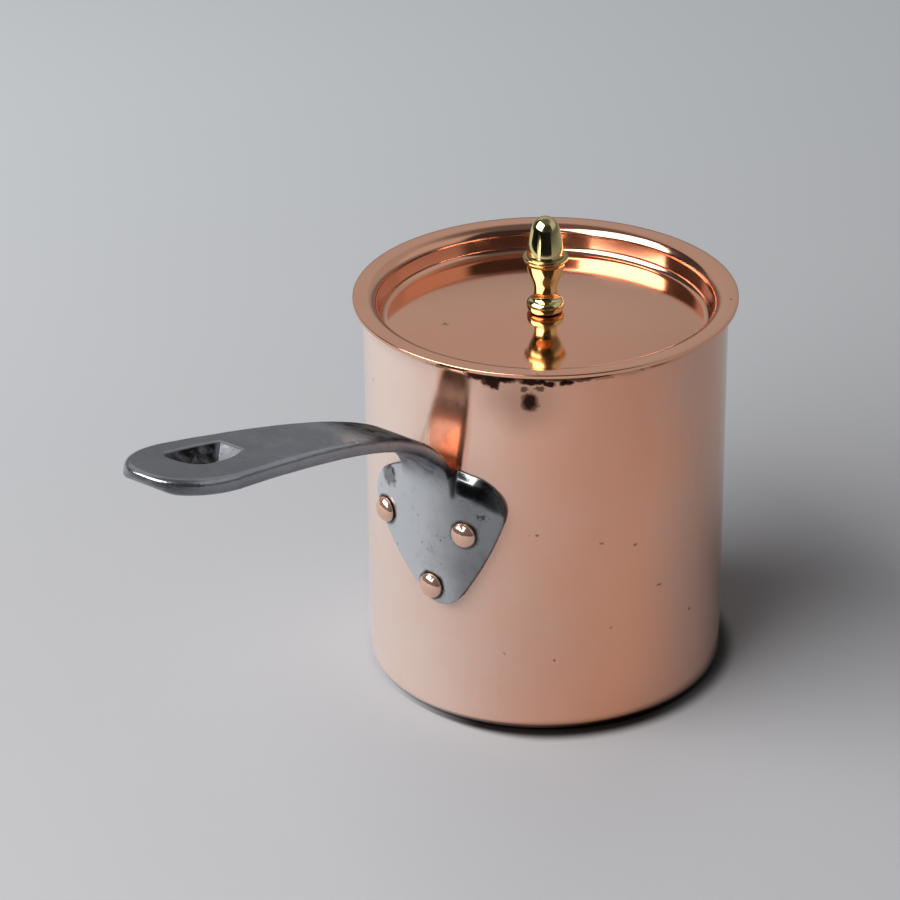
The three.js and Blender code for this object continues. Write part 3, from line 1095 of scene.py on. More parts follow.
@dataclass
class Pot:
    """The straight-sided pot: a copper shell and the tin that lines it."""

    radius: float
    height: float
    wall: float = 1.6
    base: float = 2.0
    foot_corner: float = 3.2
    rim_round: float = 0.5
    tin: float = 0.2
    tin_gap: float = 0.05
    segments: int = 192
    wall_rows: int = 40
    rim_rows: int = 16
    rim_band: float = 8.0
    planish_depth: float = 0.035
    planish_size: float = 24.0
    rim_turn_in: float = 0.45
    rim_turn_height: float = 3.4

    @property
    def bore(self) -> float:
        """The radius inside the copper."""
        return self.radius - self.wall

    @property
    def lined(self) -> float:
        """The radius inside the tin."""
        return self.bore - self.tin_gap - self.tin

    def shell_mesh(self) -> bmesh.types.BMesh:
        """Turns the copper shell and gives its wall the look of handwork.

        Returns:
            The mesh.
        """
        corner, inside = self.foot_corner, self.foot_corner - self.wall
        top, rim = self.height, self.rim_round
        outline = Outline(0, 0)
        outline.to(self.radius - corner, 0, parts=6)
        outline.arc(self.radius - corner, corner, corner, -90, 0, parts=10)
        outline.to(self.radius, top - self.rim_band, parts=self.wall_rows)
        outline.to(self.radius, top - rim, parts=self.rim_rows)
        outline.arc(self.radius - rim, top - rim, rim, 0, 90, parts=4)
        outline.arc(self.bore + rim, top - rim, rim, 90, 180, parts=4)
        outline.to(self.bore, self.base + inside, parts=12)
        outline.arc(self.bore - inside, self.base + inside, inside, 0, -90, parts=6)
        outline.to(0, self.base, parts=4)
        mesh = turned(outline, self.segments)
        self._planish(mesh)
        return mesh

    def _planish(self, mesh: bmesh.types.BMesh) -> None:
        """Makes the outer wall faintly uneven, and turns its top in a little under the lid.

        Args:
            mesh: The shell, which is changed.
        """
        outside = (self.radius - 0.05) * MM
        for vert in mesh.verts:
            flat = Vector((vert.co.x, vert.co.y))
            if flat.length < outside:
                continue
            seen = vert.co / (self.planish_size * MM)
            dip = self.planish_depth * (0.5 + 0.5 * noise.noise(seen))
            along = Vector((flat.x, flat.y, 0)).normalized() * 5.5
            start = self.height - self.rim_turn_height * (1 + 0.75 * noise.noise(along))
            dip += self.rim_turn_in * smoothstep(start, self.height, vert.co.z / MM)
            vert.co -= Vector((flat.x, flat.y, 0)).normalized() * dip * MM

    def lining_mesh(self) -> bmesh.types.BMesh:
        """Turns the tin lining.

        Returns:
            The mesh.
        """
        outer, corner = self.bore - self.tin_gap, self.foot_corner - self.wall - self.tin_gap
        low, top = self.base + self.tin_gap, self.height - 0.1
        inside = corner - self.tin
        outline = Outline(0, low)
        outline.to(outer - corner, low, parts=6)
        outline.arc(outer - corner, low + corner, corner, -90, 0, parts=6)
        outline.to(outer, top, parts=12)
        outline.to(self.lined, top)
        outline.to(self.lined, low + corner, parts=12)
        outline.arc(self.lined - inside, low + corner, inside, 0, -90, parts=6)
        outline.to(0, low + self.tin, parts=6)
        return turned(outline, self.segments)

    def dress(self, copper: bpy.types.Material, tin: bpy.types.Material) -> None:
        """Makes the pot's pieces.

        Args:
            copper: The finish of the shell.
            tin: The finish of the lining.
        """
        make_piece(self.shell_mesh(), "pot_shell", Body.PAN, "pot_body", copper)
        make_piece(self.lining_mesh(), "pot_tinning", Body.PAN, "pot_tin_lining", tin)


@dataclass
class Lid:
    """The lid: a flange on the pot's rim round a dished middle with a low crown."""

    pot: Pot
    top: float
    flange_radius: float
    dish_radius: float
    sheet: float = 1.3
    dish_depth: float = 9.5
    dish_corner: float = 2.4
    lip: float = 3.8
    draft: float = 6.5
    crown: float = 3.0
    hole: float = 2.45
    edge: float = 0.3
    segments: int = 192

    @property
    def crown_top(self) -> float:
        """The height of the crown's middle."""
        return self.top - self.dish_depth + self.crown

    @property
    def crown_sphere(self) -> float:
        """The radius of the ball that the crown is a cap of."""
        return (self.dish_radius**2 + self.crown**2) / (2 * self.crown)

    def _crown_corner(self) -> tuple[float, float]:
        """Finds where the crown meets the corner of the dish.

        Returns:
            The height of the corner's centre, and the angle of the crown's edge in degrees.
        """
        reach = self.dish_radius - self.dish_corner
        span = self.crown_sphere + self.dish_corner
        rise = math.sqrt(span**2 - reach**2)
        return self.crown_top - self.crown_sphere + rise, math.degrees(math.atan2(rise, reach))

    def _wall_at(self, depth: float, height: float) -> float:
        """Finds how far out the leaning wall of the dish is.

        Args:
            depth: The depth below the lid's upper face.
            height: The height on the wall.

        Returns:
            The distance from the axis.
        """
        lean = math.radians(self.draft)
        from_corner = height - self._crown_corner()[0]
        beside = self.dish_radius - self.dish_corner + (self.dish_corner + depth) / math.cos(lean)
        return beside + math.tan(lean) * from_corner

    def _dish(self, outline: Outline, depth: float, outwards: bool) -> None:
        """Draws the crown and the corner of the dish at a depth below the upper face.

        Args:
            outline: The line to go on with.
            depth: The depth below the lid's upper face.
            outwards: Whether the line runs from the crown to the wall or back.
        """
        corner_height, edge = self._crown_corner()
        ball = self.crown_sphere - depth
        centre = self.crown_top - self.crown_sphere
        start = math.degrees(math.acos(self.hole / ball))
        reach = self.dish_radius - self.dish_corner
        if outwards:
            outline.arc(0, centre, ball, start, edge, parts=18)
            outline.arc(reach, corner_height, self.dish_corner + depth, edge - 180, -self.draft, parts=10)
        else:
            outline.arc(reach, corner_height, self.dish_corner + depth, -self.draft, edge - 180, parts=10)
            outline.arc(0, centre, ball, edge, start, parts=18)

    def sheet_mesh(self) -> bmesh.types.BMesh:
        """Turns the copper sheet.

        Returns:
            The mesh.
        """
        ball = self.crown_sphere - self.sheet
        centre = self.crown_top - self.crown_sphere
        outline = Outline(self.hole, centre + math.sqrt(ball**2 - self.hole**2))
        self._dish(outline, self.sheet, outwards=True)
        lip_height = self.top - self.lip
        lip_reach, wall_end = self._wall_at(self.lip, lip_height), 180 - self.draft
        edge, outer = self.edge, self.flange_radius
        outline.arc(lip_reach, lip_height, self.lip - self.sheet, wall_end, 90, parts=8)
        outline.to(outer - edge, self.top - self.sheet, parts=3)
        outline.arc(outer - edge, self.top - self.sheet + edge, edge, -90, 0, parts=4)
        outline.arc(outer - edge, self.top - edge, edge, 0, 90, parts=4)
        outline.to(lip_reach, self.top, parts=3)
        outline.arc(lip_reach, lip_height, self.lip, 90, wall_end, parts=12)
        self._dish(outline, 0, outwards=False)
        return turned(outline, self.segments, closed=True)

    def lining_mesh(self) -> bmesh.types.BMesh:
        """Turns the tin under the lid.

        Returns:
            The mesh.
        """
        upper = self.sheet + self.pot.tin_gap
        lower = upper + self.pot.tin
        wall_top = self.pot.height - 0.2 - self.lip
        centre, ball = self.crown_top - self.crown_sphere, self.crown_sphere - lower
        outline = Outline(self.hole, centre + math.sqrt(ball**2 - self.hole**2))
        self._dish(outline, lower, outwards=True)
        outline.to(self._wall_at(lower, wall_top), wall_top, parts=2)
        outline.to(self._wall_at(upper, wall_top), wall_top)
        self._dish(outline, upper, outwards=False)
        return turned(outline, self.segments, closed=True)

    def dress(self, copper: bpy.types.Material, tin: bpy.types.Material) -> None:
        """Makes the lid's pieces.

        Args:
            copper: The finish of the sheet.
            tin: The finish of the lining.
        """
        make_piece(self.sheet_mesh(), "lid_sheet", Body.LID, "lid", copper)
        make_piece(self.lining_mesh(), "lid_tinning", Body.LID, "lid_tin_lining", tin)


@dataclass
class Knob:
    """The turned brass acorn on its stem, with the washer that its tail is riveted over."""

    foot: float
    height: float
    washer_top: float
    washer_under: float
    tail: float
    foot_radius: float = 6.2
    neck_radius: float = 3.8
    cup_radius: float = 6.3
    collar_radius: float = 7.5
    collar_height: float = 18.6
    collar_thickness: float = 1.7
    acorn_radius: float = 5.9
    tenon_radius: float = 2.2
    head_radius: float = 3.9
    washer_radius: float = 6.5
    washer_hole: float = 2.45
    segments: int = 96

    def knob_mesh(self) -> bmesh.types.BMesh:
        """Turns the knob in one piece, from its riveted tail to the acorn's tip.

        Returns:
            The mesh, with its grooves marked.
        """
        foot, collar = self.foot, self.foot + self.collar_height
        half = self.collar_thickness / 2
        bead, neck = self.foot_radius, self.neck_radius
        acorn, top = self.acorn_radius, self.foot + self.height
        seat = collar + half
        outline = Outline(0, self.tail - 1.2)
        outline.flow(
            (2.6, self.tail - 1.2),
            (self.head_radius, self.tail - 0.8),
            (self.head_radius, self.tail),
            parts=6,
        )
        outline.to(self.tenon_radius, self.tail)
        outline.to(self.tenon_radius, foot, parts=3)
        outline.to(bead - 1.3, foot, parts=2)
        outline.flow((bead - 0.4, foot), (bead, foot + 1.0), (bead, foot + 2.1), parts=8)
        outline.flow((bead, foot + 3.3), (bead - 0.7, foot + 4.0), (bead - 1.6, foot + 4.3), parts=8)
        outline.flow((neck + 0.3, foot + 4.7), (neck, foot + 5.9), (neck, foot + 7.4), parts=10)
        outline.flow(
            (neck, foot + 10.6),
            (self.cup_radius - 0.3, foot + 12.4),
            (self.cup_radius, collar - half - 0.5),
            parts=14,
        )
        outline.to(self.cup_radius - 0.1, collar - half)
        outline.to(self.collar_radius - 0.5, collar - half)
        outline.flow(
            (self.collar_radius, collar - half),
            (self.collar_radius, collar + half),
            (self.collar_radius - 0.5, collar + half),
            parts=8,
        )
        outline.to(acorn + 0.15, seat)
        outline.to(acorn + 0.05, seat + 0.35)
        outline.flow(
            (acorn - 0.2, seat + 3.5),
            (acorn - 0.6, seat + 5.6),
            (acorn - 1.15, seat + 8.4),
            parts=12,
        )
        outline.flow((acorn - 1.7, top - 1.6), (acorn - 3.6, top), (0, top), parts=14)
        mesh = turned(outline, self.segments)
        self._mark_grooves(mesh, (foot + 0.1, collar - half - 0.1, seat + 0.1))
        return mesh

    def _mark_grooves(self, mesh: bmesh.types.BMesh, heights: Sequence[float]) -> None:
        """Marks the grooves where polish doesn't reach.

        Args:
            mesh: The knob, which gets an attribute.
            heights: The heights of the grooves.
        """
        hollow = mesh.verts.layers.float.new("hollow")
        for vert in mesh.verts:
            nearest = min(abs(vert.co.z / MM - height) for height in heights)
            vert[hollow] = 1 - smoothstep(0.1, 0.75, nearest)

    def washer_mesh(self) -> bmesh.types.BMesh:
        """Turns the washer, with its outer edges eased.

        Returns:
            The mesh.
        """
        edge = 0.25
        outline = Outline(self.washer_hole, self.washer_under)
        outline.to(self.washer_radius - edge, self.washer_under, parts=2)
        outline.arc(self.washer_radius - edge, self.washer_under + edge, edge, -90, 0, parts=4)
        outline.arc(self.washer_radius - edge, self.washer_top - edge, edge, 0, 90, parts=4)
        outline.to(self.washer_hole, self.washer_top, parts=2)
        mesh = turned(outline, self.segments, closed=True)
        mesh.verts.layers.float.new("hollow")
        return mesh

    def dress(self, brass: bpy.types.Material) -> None:
        """Makes the knob and its washer.

        Args:
            brass: The finish of both.
        """
        make_piece(self.knob_mesh(), "acorn_knob", Body.LID, "lid_knob", brass, crease=35)
        make_piece(self.washer_mesh(), "rivet_washer", Body.LID, "knob_washer", brass)


class ArmLine:
    """The line of the handle's upper face, told by its length from the lug's middle."""

    def __init__(
        self, reach: float, middle: float, root: float, tip: Vector, slope: float, pulls: Point
    ) -> None:
        """Lays the line out: straight up the wall, then one bend out to the tip.

        Args:
            reach: How far from the pot's axis the line stands on the wall.
            middle: The height of the lug's middle.
            root: The height where the line leaves the wall.
            tip: The tip's reach and height.
            slope: The slope at the tip, in degrees.
            pulls: How far the bend's two handles reach, at the root and at the tip.
        """
        self.reach, self.middle = reach, middle
        angle = math.radians(slope)
        bend = Outline(reach, root)
        before_tip = tip - pulls[1] * Vector((math.cos(angle), math.sin(angle)))
        bend.flow((reach, root + pulls[0]), tuple(before_tip), tuple(tip), parts=240)
        self.points = bend.points
        self.lengths = [root - middle]
        for start, end in zip(self.points, self.points[1:]):
            self.lengths.append(self.lengths[-1] + (end - start).length)

    def at(self, length: float) -> tuple[Vector, Vector]:
        """Finds a place on the line.

        Args:
            length: The length from the lug's middle.

        Returns:
            The place's reach and height, and the line's direction there.
        """
        if length <= self.lengths[0]:
            return Vector((self.reach, self.middle + length)), Vector((0, 1))
        index = min(len(self.points) - 2, sum(1 for known in self.lengths if known < length) - 1)
        start, end = self.points[index], self.points[index + 1]
        along = (end - start).normalized()
        return start + along * (length - self.lengths[index]), along

    def length_at(self, reach: float) -> float:
        """Finds the length at which the line has gone out to a reach.

        Args:
            reach: The distance from the pot's axis.

        Returns:
            The length from the lug's middle.
        """
        for start, end, length in zip(self.points, self.points[1:], self.lengths):
            if end.x >= reach:
                return length + (reach - start.x) / (end.x - start.x) * (end - start).length
        return self.lengths[-1]


@dataclass
class Handle:
    """The iron handle: a flat bar with an eye, bent down and spread into a riveted lug.

    It is cut out flat, given its thickness and rounded edges, and then bent.
    Lengths run along the bar from the lug's middle, and sides from its middle line.
    """

    pot: Pot
    tip: Vector

    # The lug, about its own middle, and its place on the wall
    seat: float = 0.2
    lug_thickness: float = 3.3
    lug_middle: float = 72.0
    lug_shift: float = -1.9
    lug_lean: float = 8.5
    lug_half_width: float = 26.0
    lug_top_half_width: float = 8.0
    lug_rise: float = 20.8
    lug_drop: float = 27.8
    lug_tip_radius: float = 9.4
    lobe_radius: float = 12.0
    lobe_rise: float = 6.1
    flank_bulge: float = 0.9

    # The tops of its lobes, which fall back to the wall
    shoulder_angle: float = 71.0
    shoulder_band: float = 9.0
    shoulder_fall: float = 0.95
    shoulder_crease: float = 0.50
    left_shoulder: float = 0.15

    # The arm, from its root on the wall to its round tip
    root_height: float = 84.0
    tip_slope: float = 11.5
    tip_pull: float = 102.0
    root_pull: float = 26.0
    thickness: float = 4.7
    root_half_width: float = 9.8
    end_half_width: float = 16.9
    narrow_reach: float = 84.0
    round_end: float = 23.4
    tip_roundness: float = 2.25
    tip_thinning: float = 0.45

    # The rounding of the edges
    upper_edge: float = 1.9
    under_edge: float = 0.75
    back_edge: float = 0.3
    root_fillet: float = 1.8

    # The hanging eye
    eye_margin: float = 15.9
    eye_length: float = 25.5
    eye_width: float = 13.9
    eye_shift: float = 2.05
    eye_straight_width: float = 9.4
    eye_straight_shift: float = 3.4
    eye_sharp: float = 4.0
    eye_round: float = 9.0
    eye_edge: float = 0.5
    eye_taper: float = 5.0

    # The unevenness of forging
    forge_depth: float = 0.09
    forge_size: float = 13.0

    # The rows that the flat bar is cut into, closer where it bends or falls back
    row: float = 1.6
    plain_row: float = 4.0
    plain_reach: Point = (62.0, 26.0)
    shoulder_row: float = 0.6
    shoulder_reach: Point = (3.0, 24.0)
    side_row: float = 1.1
    edge_row: float = 0.25
    edge_reach: Point = (9.2, 10.9)

    def __post_init__(self) -> None:
        """Lays out the arm's line and the places that follow from it."""
        reach = self.pot.radius + self.seat
        pulls = (self.root_pull, self.tip_pull)
        self.line = ArmLine(reach, self.lug_middle, self.root_height, self.tip, self.tip_slope, pulls)
        self.wall_reach = reach
        self.eye_near = self.line.length_at(self.tip.x - self.eye_margin - self.eye_length)

    @property
    def face(self) -> float:
        """The radius of the lug's outer face round the pot's axis."""
        return self.wall_reach + self.lug_thickness

    def lug_to_bar(self, side: float, rise: float) -> Vector:
        """Turns a place on the leaning lug into a length and a side.

        Args:
            side: The distance from the lug's own middle line.
            rise: The distance above the lug's middle.

        Returns:
            The length and the side.
        """
        lean = math.radians(self.lug_lean)
        return Vector((
            rise * math.cos(lean) - side * math.sin(lean),
            side * math.cos(lean) + rise * math.sin(lean) + self.lug_shift,
        ))

    def bar_to_lug(self, length: float, side: float) -> Vector:
        """Turns a length and a side into a place on the leaning lug.

        Args:
            length: The length along the bar.
            side: The distance from the bar's middle line.

        Returns:
            The lug's own side and rise.
        """
        lean = math.radians(self.lug_lean)
        shifted = side - self.lug_shift
        return Vector((
            shifted * math.cos(lean) - length * math.sin(lean),
            shifted * math.sin(lean) + length * math.cos(lean),
        ))

    def _shoulder(self) -> Vector:
        """Gives the place where a lobe's round begins, on the right side of the lug."""
        angle = math.radians(self.shoulder_angle)
        lobe = Vector((self.lug_half_width - self.lobe_radius, self.lobe_rise))
        return lobe + self.lobe_radius * Vector((math.cos(angle), math.sin(angle)))

    def half_outline(self, hand: int) -> list[Vector]:
        """Draws one side of the flat bar from its tip to the lug's point.

        Args:
            hand: 1 for the side towards +Y, -1 for the other.

        Returns:
            The points as lengths and sides, without the two ends.
        """
        points: list[Vector] = []
        wide_reach = self.tip.x - self.round_end
        for step in range(1, 19):
            turn = math.radians(90 - 90 * step / 18)
            power = 2 / self.tip_roundness
            past, width = math.sin(turn) ** power, math.cos(turn) ** power
            length = self.line.length_at(wide_reach + self.round_end * past)
            points.append(Vector((length, hand * self.end_half_width * width)))
        for step in range(1, 13):
            reach = blend(wide_reach, self.narrow_reach, step / 12)
            width = blend(self.end_half_width, self.root_half_width, step / 12)
            points.append(Vector((self.line.length_at(reach), hand * width)))
        shoulder = self._shoulder()
        low = self.lug_to_bar(hand * shoulder.x, shoulder.y)
        high = self.lug_to_bar(hand * self.lug_top_half_width, self.lug_rise)
        along = (low - high).normalized()
        cross = high + along * ((hand * self.root_half_width - high.y) / along.y)
        fillet = Outline(cross.x + self.root_fillet, cross.y)
        landed = cross + along * self.root_fillet
        fillet.flow(tuple(cross), tuple(cross), tuple(landed), parts=5)
        points += fillet.points
        points += [self.lug_to_bar(hand * place.x, place.y) for place in self._lug_side()]
        return points

    def _lug_side(self) -> list[Vector]:
        """Draws the right side of the lug, from the lobe's shoulder to near the point.

        Returns:
            The points as sides and rises in the lug's own directions.
        """
        tip = Vector((0, self.lug_tip_radius - self.lug_drop))
        lobe = Vector((self.lug_half_width - self.lobe_radius, self.lobe_rise))
        span = lobe - tip
        flank = math.atan2(span.y, span.x) - math.acos((self.lug_tip_radius - self.lobe_radius) / span.length)
        outward = Vector((math.cos(flank), math.sin(flank)))
        high, low = lobe + self.lobe_radius * outward, tip + self.lug_tip_radius * outward
        pull = (high + low) / 2 + outward * 2 * self.flank_bulge
        side = Outline(*self._shoulder())
        side.arc(lobe.x, lobe.y, self.lobe_radius, self.shoulder_angle, math.degrees(flank), parts=14)
        side.flow(tuple(high.lerp(pull, 2 / 3)), tuple(low.lerp(pull, 2 / 3)), tuple(low), parts=12)
        side.arc(tip.x, tip.y, self.lug_tip_radius, math.degrees(flank), -84, parts=7)
        return side.points

    def eye_half(self, hand: int) -> list[Vector]:
        """Draws one side of the eye from its far end to its end by the pot.

        Args:
            hand: 1 for the side towards +Y, -1 for the other.

        Returns:
            The points as lengths and sides, with both ends.
        """
        high, low = self.eye_shift + self.eye_width / 2, self.eye_shift - self.eye_width / 2
        straight = self.eye_straight_width / 2
        far, near = self.eye_near + self.eye_length, self.eye_near
        middle = self.eye_straight_shift
        line = Outline(far, high - self.eye_sharp)
        if hand > 0:
            line.flow((far, high - 1), (far - 1, high), (far - self.eye_sharp, high), parts=6)
            line.flow((near + 14, high), (near + 7, high - 0.2), (near, middle + straight), parts=8)
        else:
            line.flow((far, low + 2), (far - 3.5, low), (far - self.eye_round, low), parts=8)
            line.flow((near + 11, low), (near + 5, low + 1.2), (near, middle - straight), parts=7)
        line.to(near, middle)
        return line.points

    def blank_mesh(self) -> bmesh.types.BMesh:
        """Cuts the flat bar with its eye, gives it its thickness and rounds its edges.

        Returns:
            The flat bar in millimetres, with lengths in X, sides in Y and its upper face at 0.
        """
        mesh = bmesh.new()

        def verts_of(points: Sequence[Vector]) -> list[bmesh.types.BMVert]:
            """Adds a vertex for each point of the flat outline."""
            return [mesh.verts.new((point.x, point.y, 0)) for point in points]

        tip = mesh.verts.new((self.line.lengths[-1], 0, 0))
        point = mesh.verts.new((*self.lug_to_bar(0, -self.lug_drop), 0))
        eye_left, eye_right = self.eye_half(1), self.eye_half(-1)
        far, near = verts_of([eye_left[0], eye_left[-1]])
        for hand, eye in ((1, eye_left), (-1, eye_right)):
            rim = verts_of(self.half_outline(hand))
            hole = verts_of(eye[1:-1])
            loop = [tip, *rim, point, near, *reversed(hole), far]
            mesh.faces.new(loop if hand < 0 else list(reversed(loop)))
        bmesh.ops.recalc_face_normals(mesh, faces=mesh.faces)
        grown = bmesh.ops.extrude_face_region(mesh, geom=mesh.faces[:])
        below = [item for item in grown["geom"] if isinstance(item, bmesh.types.BMVert)]
        bmesh.ops.translate(mesh, verts=below, vec=(0, 0, -self.thickness))
        bmesh.ops.recalc_face_normals(mesh, faces=mesh.faces)
        self._round_edges(mesh)
        self._cut_rows(mesh)
        return mesh

    def _in_eye(self, place: Vector) -> bool:
        """Says whether a place on the flat bar is on the eye's edge."""
        along = self.eye_near - 0.2 < place.x < self.eye_near + self.eye_length + 0.2
        return along and abs(place.y - self.eye_shift) < self.eye_width / 2 + 0.2

    def _round_edges(self, mesh: bmesh.types.BMesh) -> None:
        """Rounds the bar's outer edges and eases those of the eye.

        Args:
            mesh: The flat bar, which is changed.
        """
        rounds = (
            (False, 0.0, self.upper_edge, 6),
            (False, -self.thickness, self.under_edge, 5),
            (True, 0.0, self.eye_edge, 3),
            (True, -self.thickness, self.eye_edge, 3),
        )
        for in_eye, height, offset, parts in rounds:
            sharp = [
                edge
                for edge in mesh.edges
                if len(edge.link_faces) == 2
                and edge.calc_face_angle() > 1.0
                and all(abs(vert.co.z - height) < 0.01 for vert in edge.verts)
                and self._in_eye((edge.verts[0].co + edge.verts[1].co) / 2) == in_eye
            ]
            bmesh.ops.bevel(
                mesh,
                geom=sharp,
                offset=offset,
                offset_type="OFFSET",
                segments=parts,
                profile=0.5,
                affect="EDGES",
                material=-1,
                clamp_overlap=False,
            )

    def _cut_rows(self, mesh: bmesh.types.BMesh) -> None:
        """Cuts the bar across and along, so that it can bend smoothly.

        Args:
            mesh: The flat bar, which is changed.
        """
        station = 1.5 - self.lug_drop
        while station < self.line.lengths[-1] - 1:
            self._cut(mesh, Vector((station, 0, 0)), Vector((1, 0, 0)))
            station += self._row_after(station)
        side = self.side_row
        while side < self.lug_half_width + 1:
            for hand in (1, -1):
                self._cut(mesh, Vector((0, hand * side, 0)), Vector((0, 1, 0)))
            on_edge = self.edge_reach[0] < side < self.edge_reach[1]
            side += self.edge_row if on_edge else self.side_row

    def _row_after(self, station: float) -> float:
        """Says how far the next cut across the bar lies from the one before.

        Args:
            station: The length at which the one before lies.

        Returns:
            The distance.
        """
        if self.shoulder_reach[0] < station < self.shoulder_reach[1]:
            return self.shoulder_row
        from_lug, from_tip = self.plain_reach
        bends = station < from_lug or station > self.line.lengths[-1] - from_tip
        return self.row if bends else self.plain_row

    @staticmethod
    def _cut(mesh: bmesh.types.BMesh, place: Vector, direction: Vector) -> None:
        """Cuts the whole mesh along a plane, taking nothing away."""
        everything = mesh.verts[:] + mesh.edges[:] + mesh.faces[:]
        bmesh.ops.bisect_plane(mesh, geom=everything, dist=1e-4, plane_co=place, plane_no=direction)

    def _shoulder_depth(self, length: float, side: float) -> tuple[float, float]:
        """Works out how far the lobes' tops fall back towards the wall.

        Args:
            length: The length along the bar.
            side: The distance from its middle line.

        Returns:
            The share of the thickness that is left, and whether the place is on the filed band.
        """
        place = self.bar_to_lug(length, side)
        across, shoulder, weight = abs(place.x), self._shoulder(), 1.0
        lobe = Vector((self.lug_half_width - self.lobe_radius, self.lobe_rise))
        if across < shoulder.x and place.y > lobe.y:
            run = Vector((shoulder.x - self.lug_top_half_width, shoulder.y - self.lug_rise))
            top = self.lug_rise + run.y / run.x * (across - self.lug_top_half_width)
            inside = (top - place.y) * run.x / run.length
        else:
            out = Vector((across, place.y)) - lobe
            inside = self.lobe_radius - out.length
            weight = smoothstep(-15, 50, math.degrees(math.atan2(out.y, out.x)))
        weight *= 1 if side < 0 else self.left_shoulder
        fall = 1 - min(1.0, max(0.0, inside / self.shoulder_band))
        drop = self.shoulder_crease * fall + (1 - self.shoulder_crease) * fall**3
        return 1 - self.shoulder_fall * weight * drop, weight**2 * smoothstep(0.0, 0.04, fall)

    def _closer(self, share: float, amount: float) -> float:
        """Lets the lug lie close on the wall, where its back edges are hardly rounded.

        Args:
            share: The depth as a share of the thickness.
            amount: How much of the change applies, from 0 to 1.

        Returns:
            The new share.
        """
        if share < self.upper_edge / self.thickness:
            return blend(share, share * self.back_edge, amount)
        return share

    def _tapered(self, length: float, side: float, share: float) -> Vector:
        """Draws the eye's walls in towards the underside, as a punch leaves them.

        Args:
            length: The length along the bar of a place on the eye's edge or wall.
            side: Its distance from the middle line.
            share: Its depth as a share of the thickness.

        Returns:
            The length and side that it gets.
        """
        middle = Vector((self.eye_near + self.eye_length / 2, self.eye_shift))
        out = Vector((length, side)) - middle
        along = 1 - share * self.eye_taper / (self.eye_length / 2)
        across = 1 - share * self.eye_taper / (self.eye_width / 2)
        return middle + Vector((out.x * along, out.y * across))

    def bend(self, length: float, side: float, share: float) -> Vector:
        """Carries a place on the flat bar to where the bent handle has it.

        Args:
            length: The length along the bar.
            side: The distance from its middle line.
            share: The depth as a share of the thickness, from the upper face down.

        Returns:
            The place on the pan, in millimetres.
        """
        on_line, along = self.line.at(length)
        grown = smoothstep(self.wall_reach, self.wall_reach + 2 * self.thickness, on_line.x)
        thick = blend(self.lug_thickness, self.thickness, grown)
        past = max(0.0, on_line.x - self.tip.x + self.thickness) / self.thickness
        share = self._closer(share, smoothstep(self.lug_rise + 6, self.lug_rise - 2, length))
        depth = share * thick * (1 - self.tip_thinning * past**2)
        on_lobe = smoothstep(self.root_half_width - 0.1, self.root_half_width + 0.6, abs(side))
        on_lobe *= smoothstep(self.lug_rise + 4, self.lug_rise, length)
        flat = smoothstep(self.root_height - self.lug_middle, 45, length)
        radius = self.wall_reach + depth
        across = side * blend(radius / self.face, 1, flat)
        sag = radius - math.sqrt(radius**2 - across**2)
        bar = Vector((sag * (1 - flat) - on_line.x - along.y * depth, across, on_line.y - along.x * depth))
        if on_lobe == 0:
            return bar
        radius = self.wall_reach + share * self.lug_thickness * self._shoulder_depth(length, side)[0]
        turn = math.asin(side / self.face)
        lobe = Vector((-radius * math.cos(turn), radius * math.sin(turn), self.lug_middle + length))
        return bar.lerp(lobe, on_lobe)

    def _marks_at(self, length: float, side: float, share: float) -> tuple[float, ...]:
        """Works out how forge, fire and file have marked a place on the bar, and where shade and a dark
        reflection are painted on it.

        Args:
            length: The length along the bar.
            side: The distance from its middle line.
            share: The depth as a share of the thickness, from the upper face down.

        Returns:
            How hollow, scaled with painted shade, heated, painted with a dark reflection and filed the place
            is, each from 0 to 1.
        """
        notch = smoothstep(1.4, 0.3, abs(side + self.root_half_width + 0.3))
        hollow = notch * smoothstep(11, 14, length) * smoothstep(26, 21, length)
        hollow *= smoothstep(0.5, 0.9, share)
        heated = smoothstep(0.4, 0.9, share) * smoothstep(13, 26, length)
        heated *= smoothstep(60, 46, length)
        # A painted dark reflection on the arm's upper face, near its root
        painted_reflection = smoothstep(0.35, 0.1, share) * smoothstep(38, 52, length)
        painted_reflection *= smoothstep(82, 64, length)
        on_arm = smoothstep(24, 32, length)
        # Unpolished scale with painted shade: most on the lug's side walls, less on the arm's sides and
        # underside
        wall = smoothstep(0.1, 0.3, share) * smoothstep(0.98, 0.86, share)
        scale_and_shade = blend(0.8 * wall, 0.35 * smoothstep(0.34, 0.5, share), on_arm)
        filed = 0.0
        if abs(side) > self.root_half_width and length < self.lug_rise + 6:
            filed = self._shoulder_depth(length, side)[1] * smoothstep(0.3, 0.6, share)
        return hollow, scale_and_shade, heated, painted_reflection, filed

    def forged_mesh(self) -> bmesh.types.BMesh:
        """Bends the flat bar and gives it the faint unevenness of forging.

        Returns:
            The mesh in metres, with its hollow, heated and filed places marked, and where scale with painted
            shade and a painted dark reflection go.
        """
        mesh = self.blank_mesh()
        layers = {name: mesh.verts.layers.float.new(name) for name in HANDLE_MARKS}
        for vert in mesh.verts:
            length, side, share = vert.co.x, vert.co.y, -vert.co.z / self.thickness
            marks = dict(zip(HANDLE_MARKS, self._marks_at(length, side, share)))
            if self._in_eye(vert.co):
                end_wall = smoothstep(1.2, 0.2, length - self.eye_near)
                marks["scale_and_shade"] = smoothstep(0.02, 0.1, share) * (1 - 0.35 * end_wall)
                length, side = self._tapered(length, side, share)
            for name, amount in marks.items():
                vert[layers[name]] = amount
            vert.co = self.bend(length, side, share) * MM
        bmesh.ops.recalc_face_normals(mesh, faces=mesh.faces)
        mesh.normal_update()
        for vert in mesh.verts:
            if Vector((vert.co.x, vert.co.y)).length < (self.wall_reach + 0.5) * MM:
                continue
            uneven = self.forge_depth * (noise.noise(vert.co / (self.forge_size * MM)) - 0.5)
            vert.co += vert.normal * uneven * MM
        return mesh

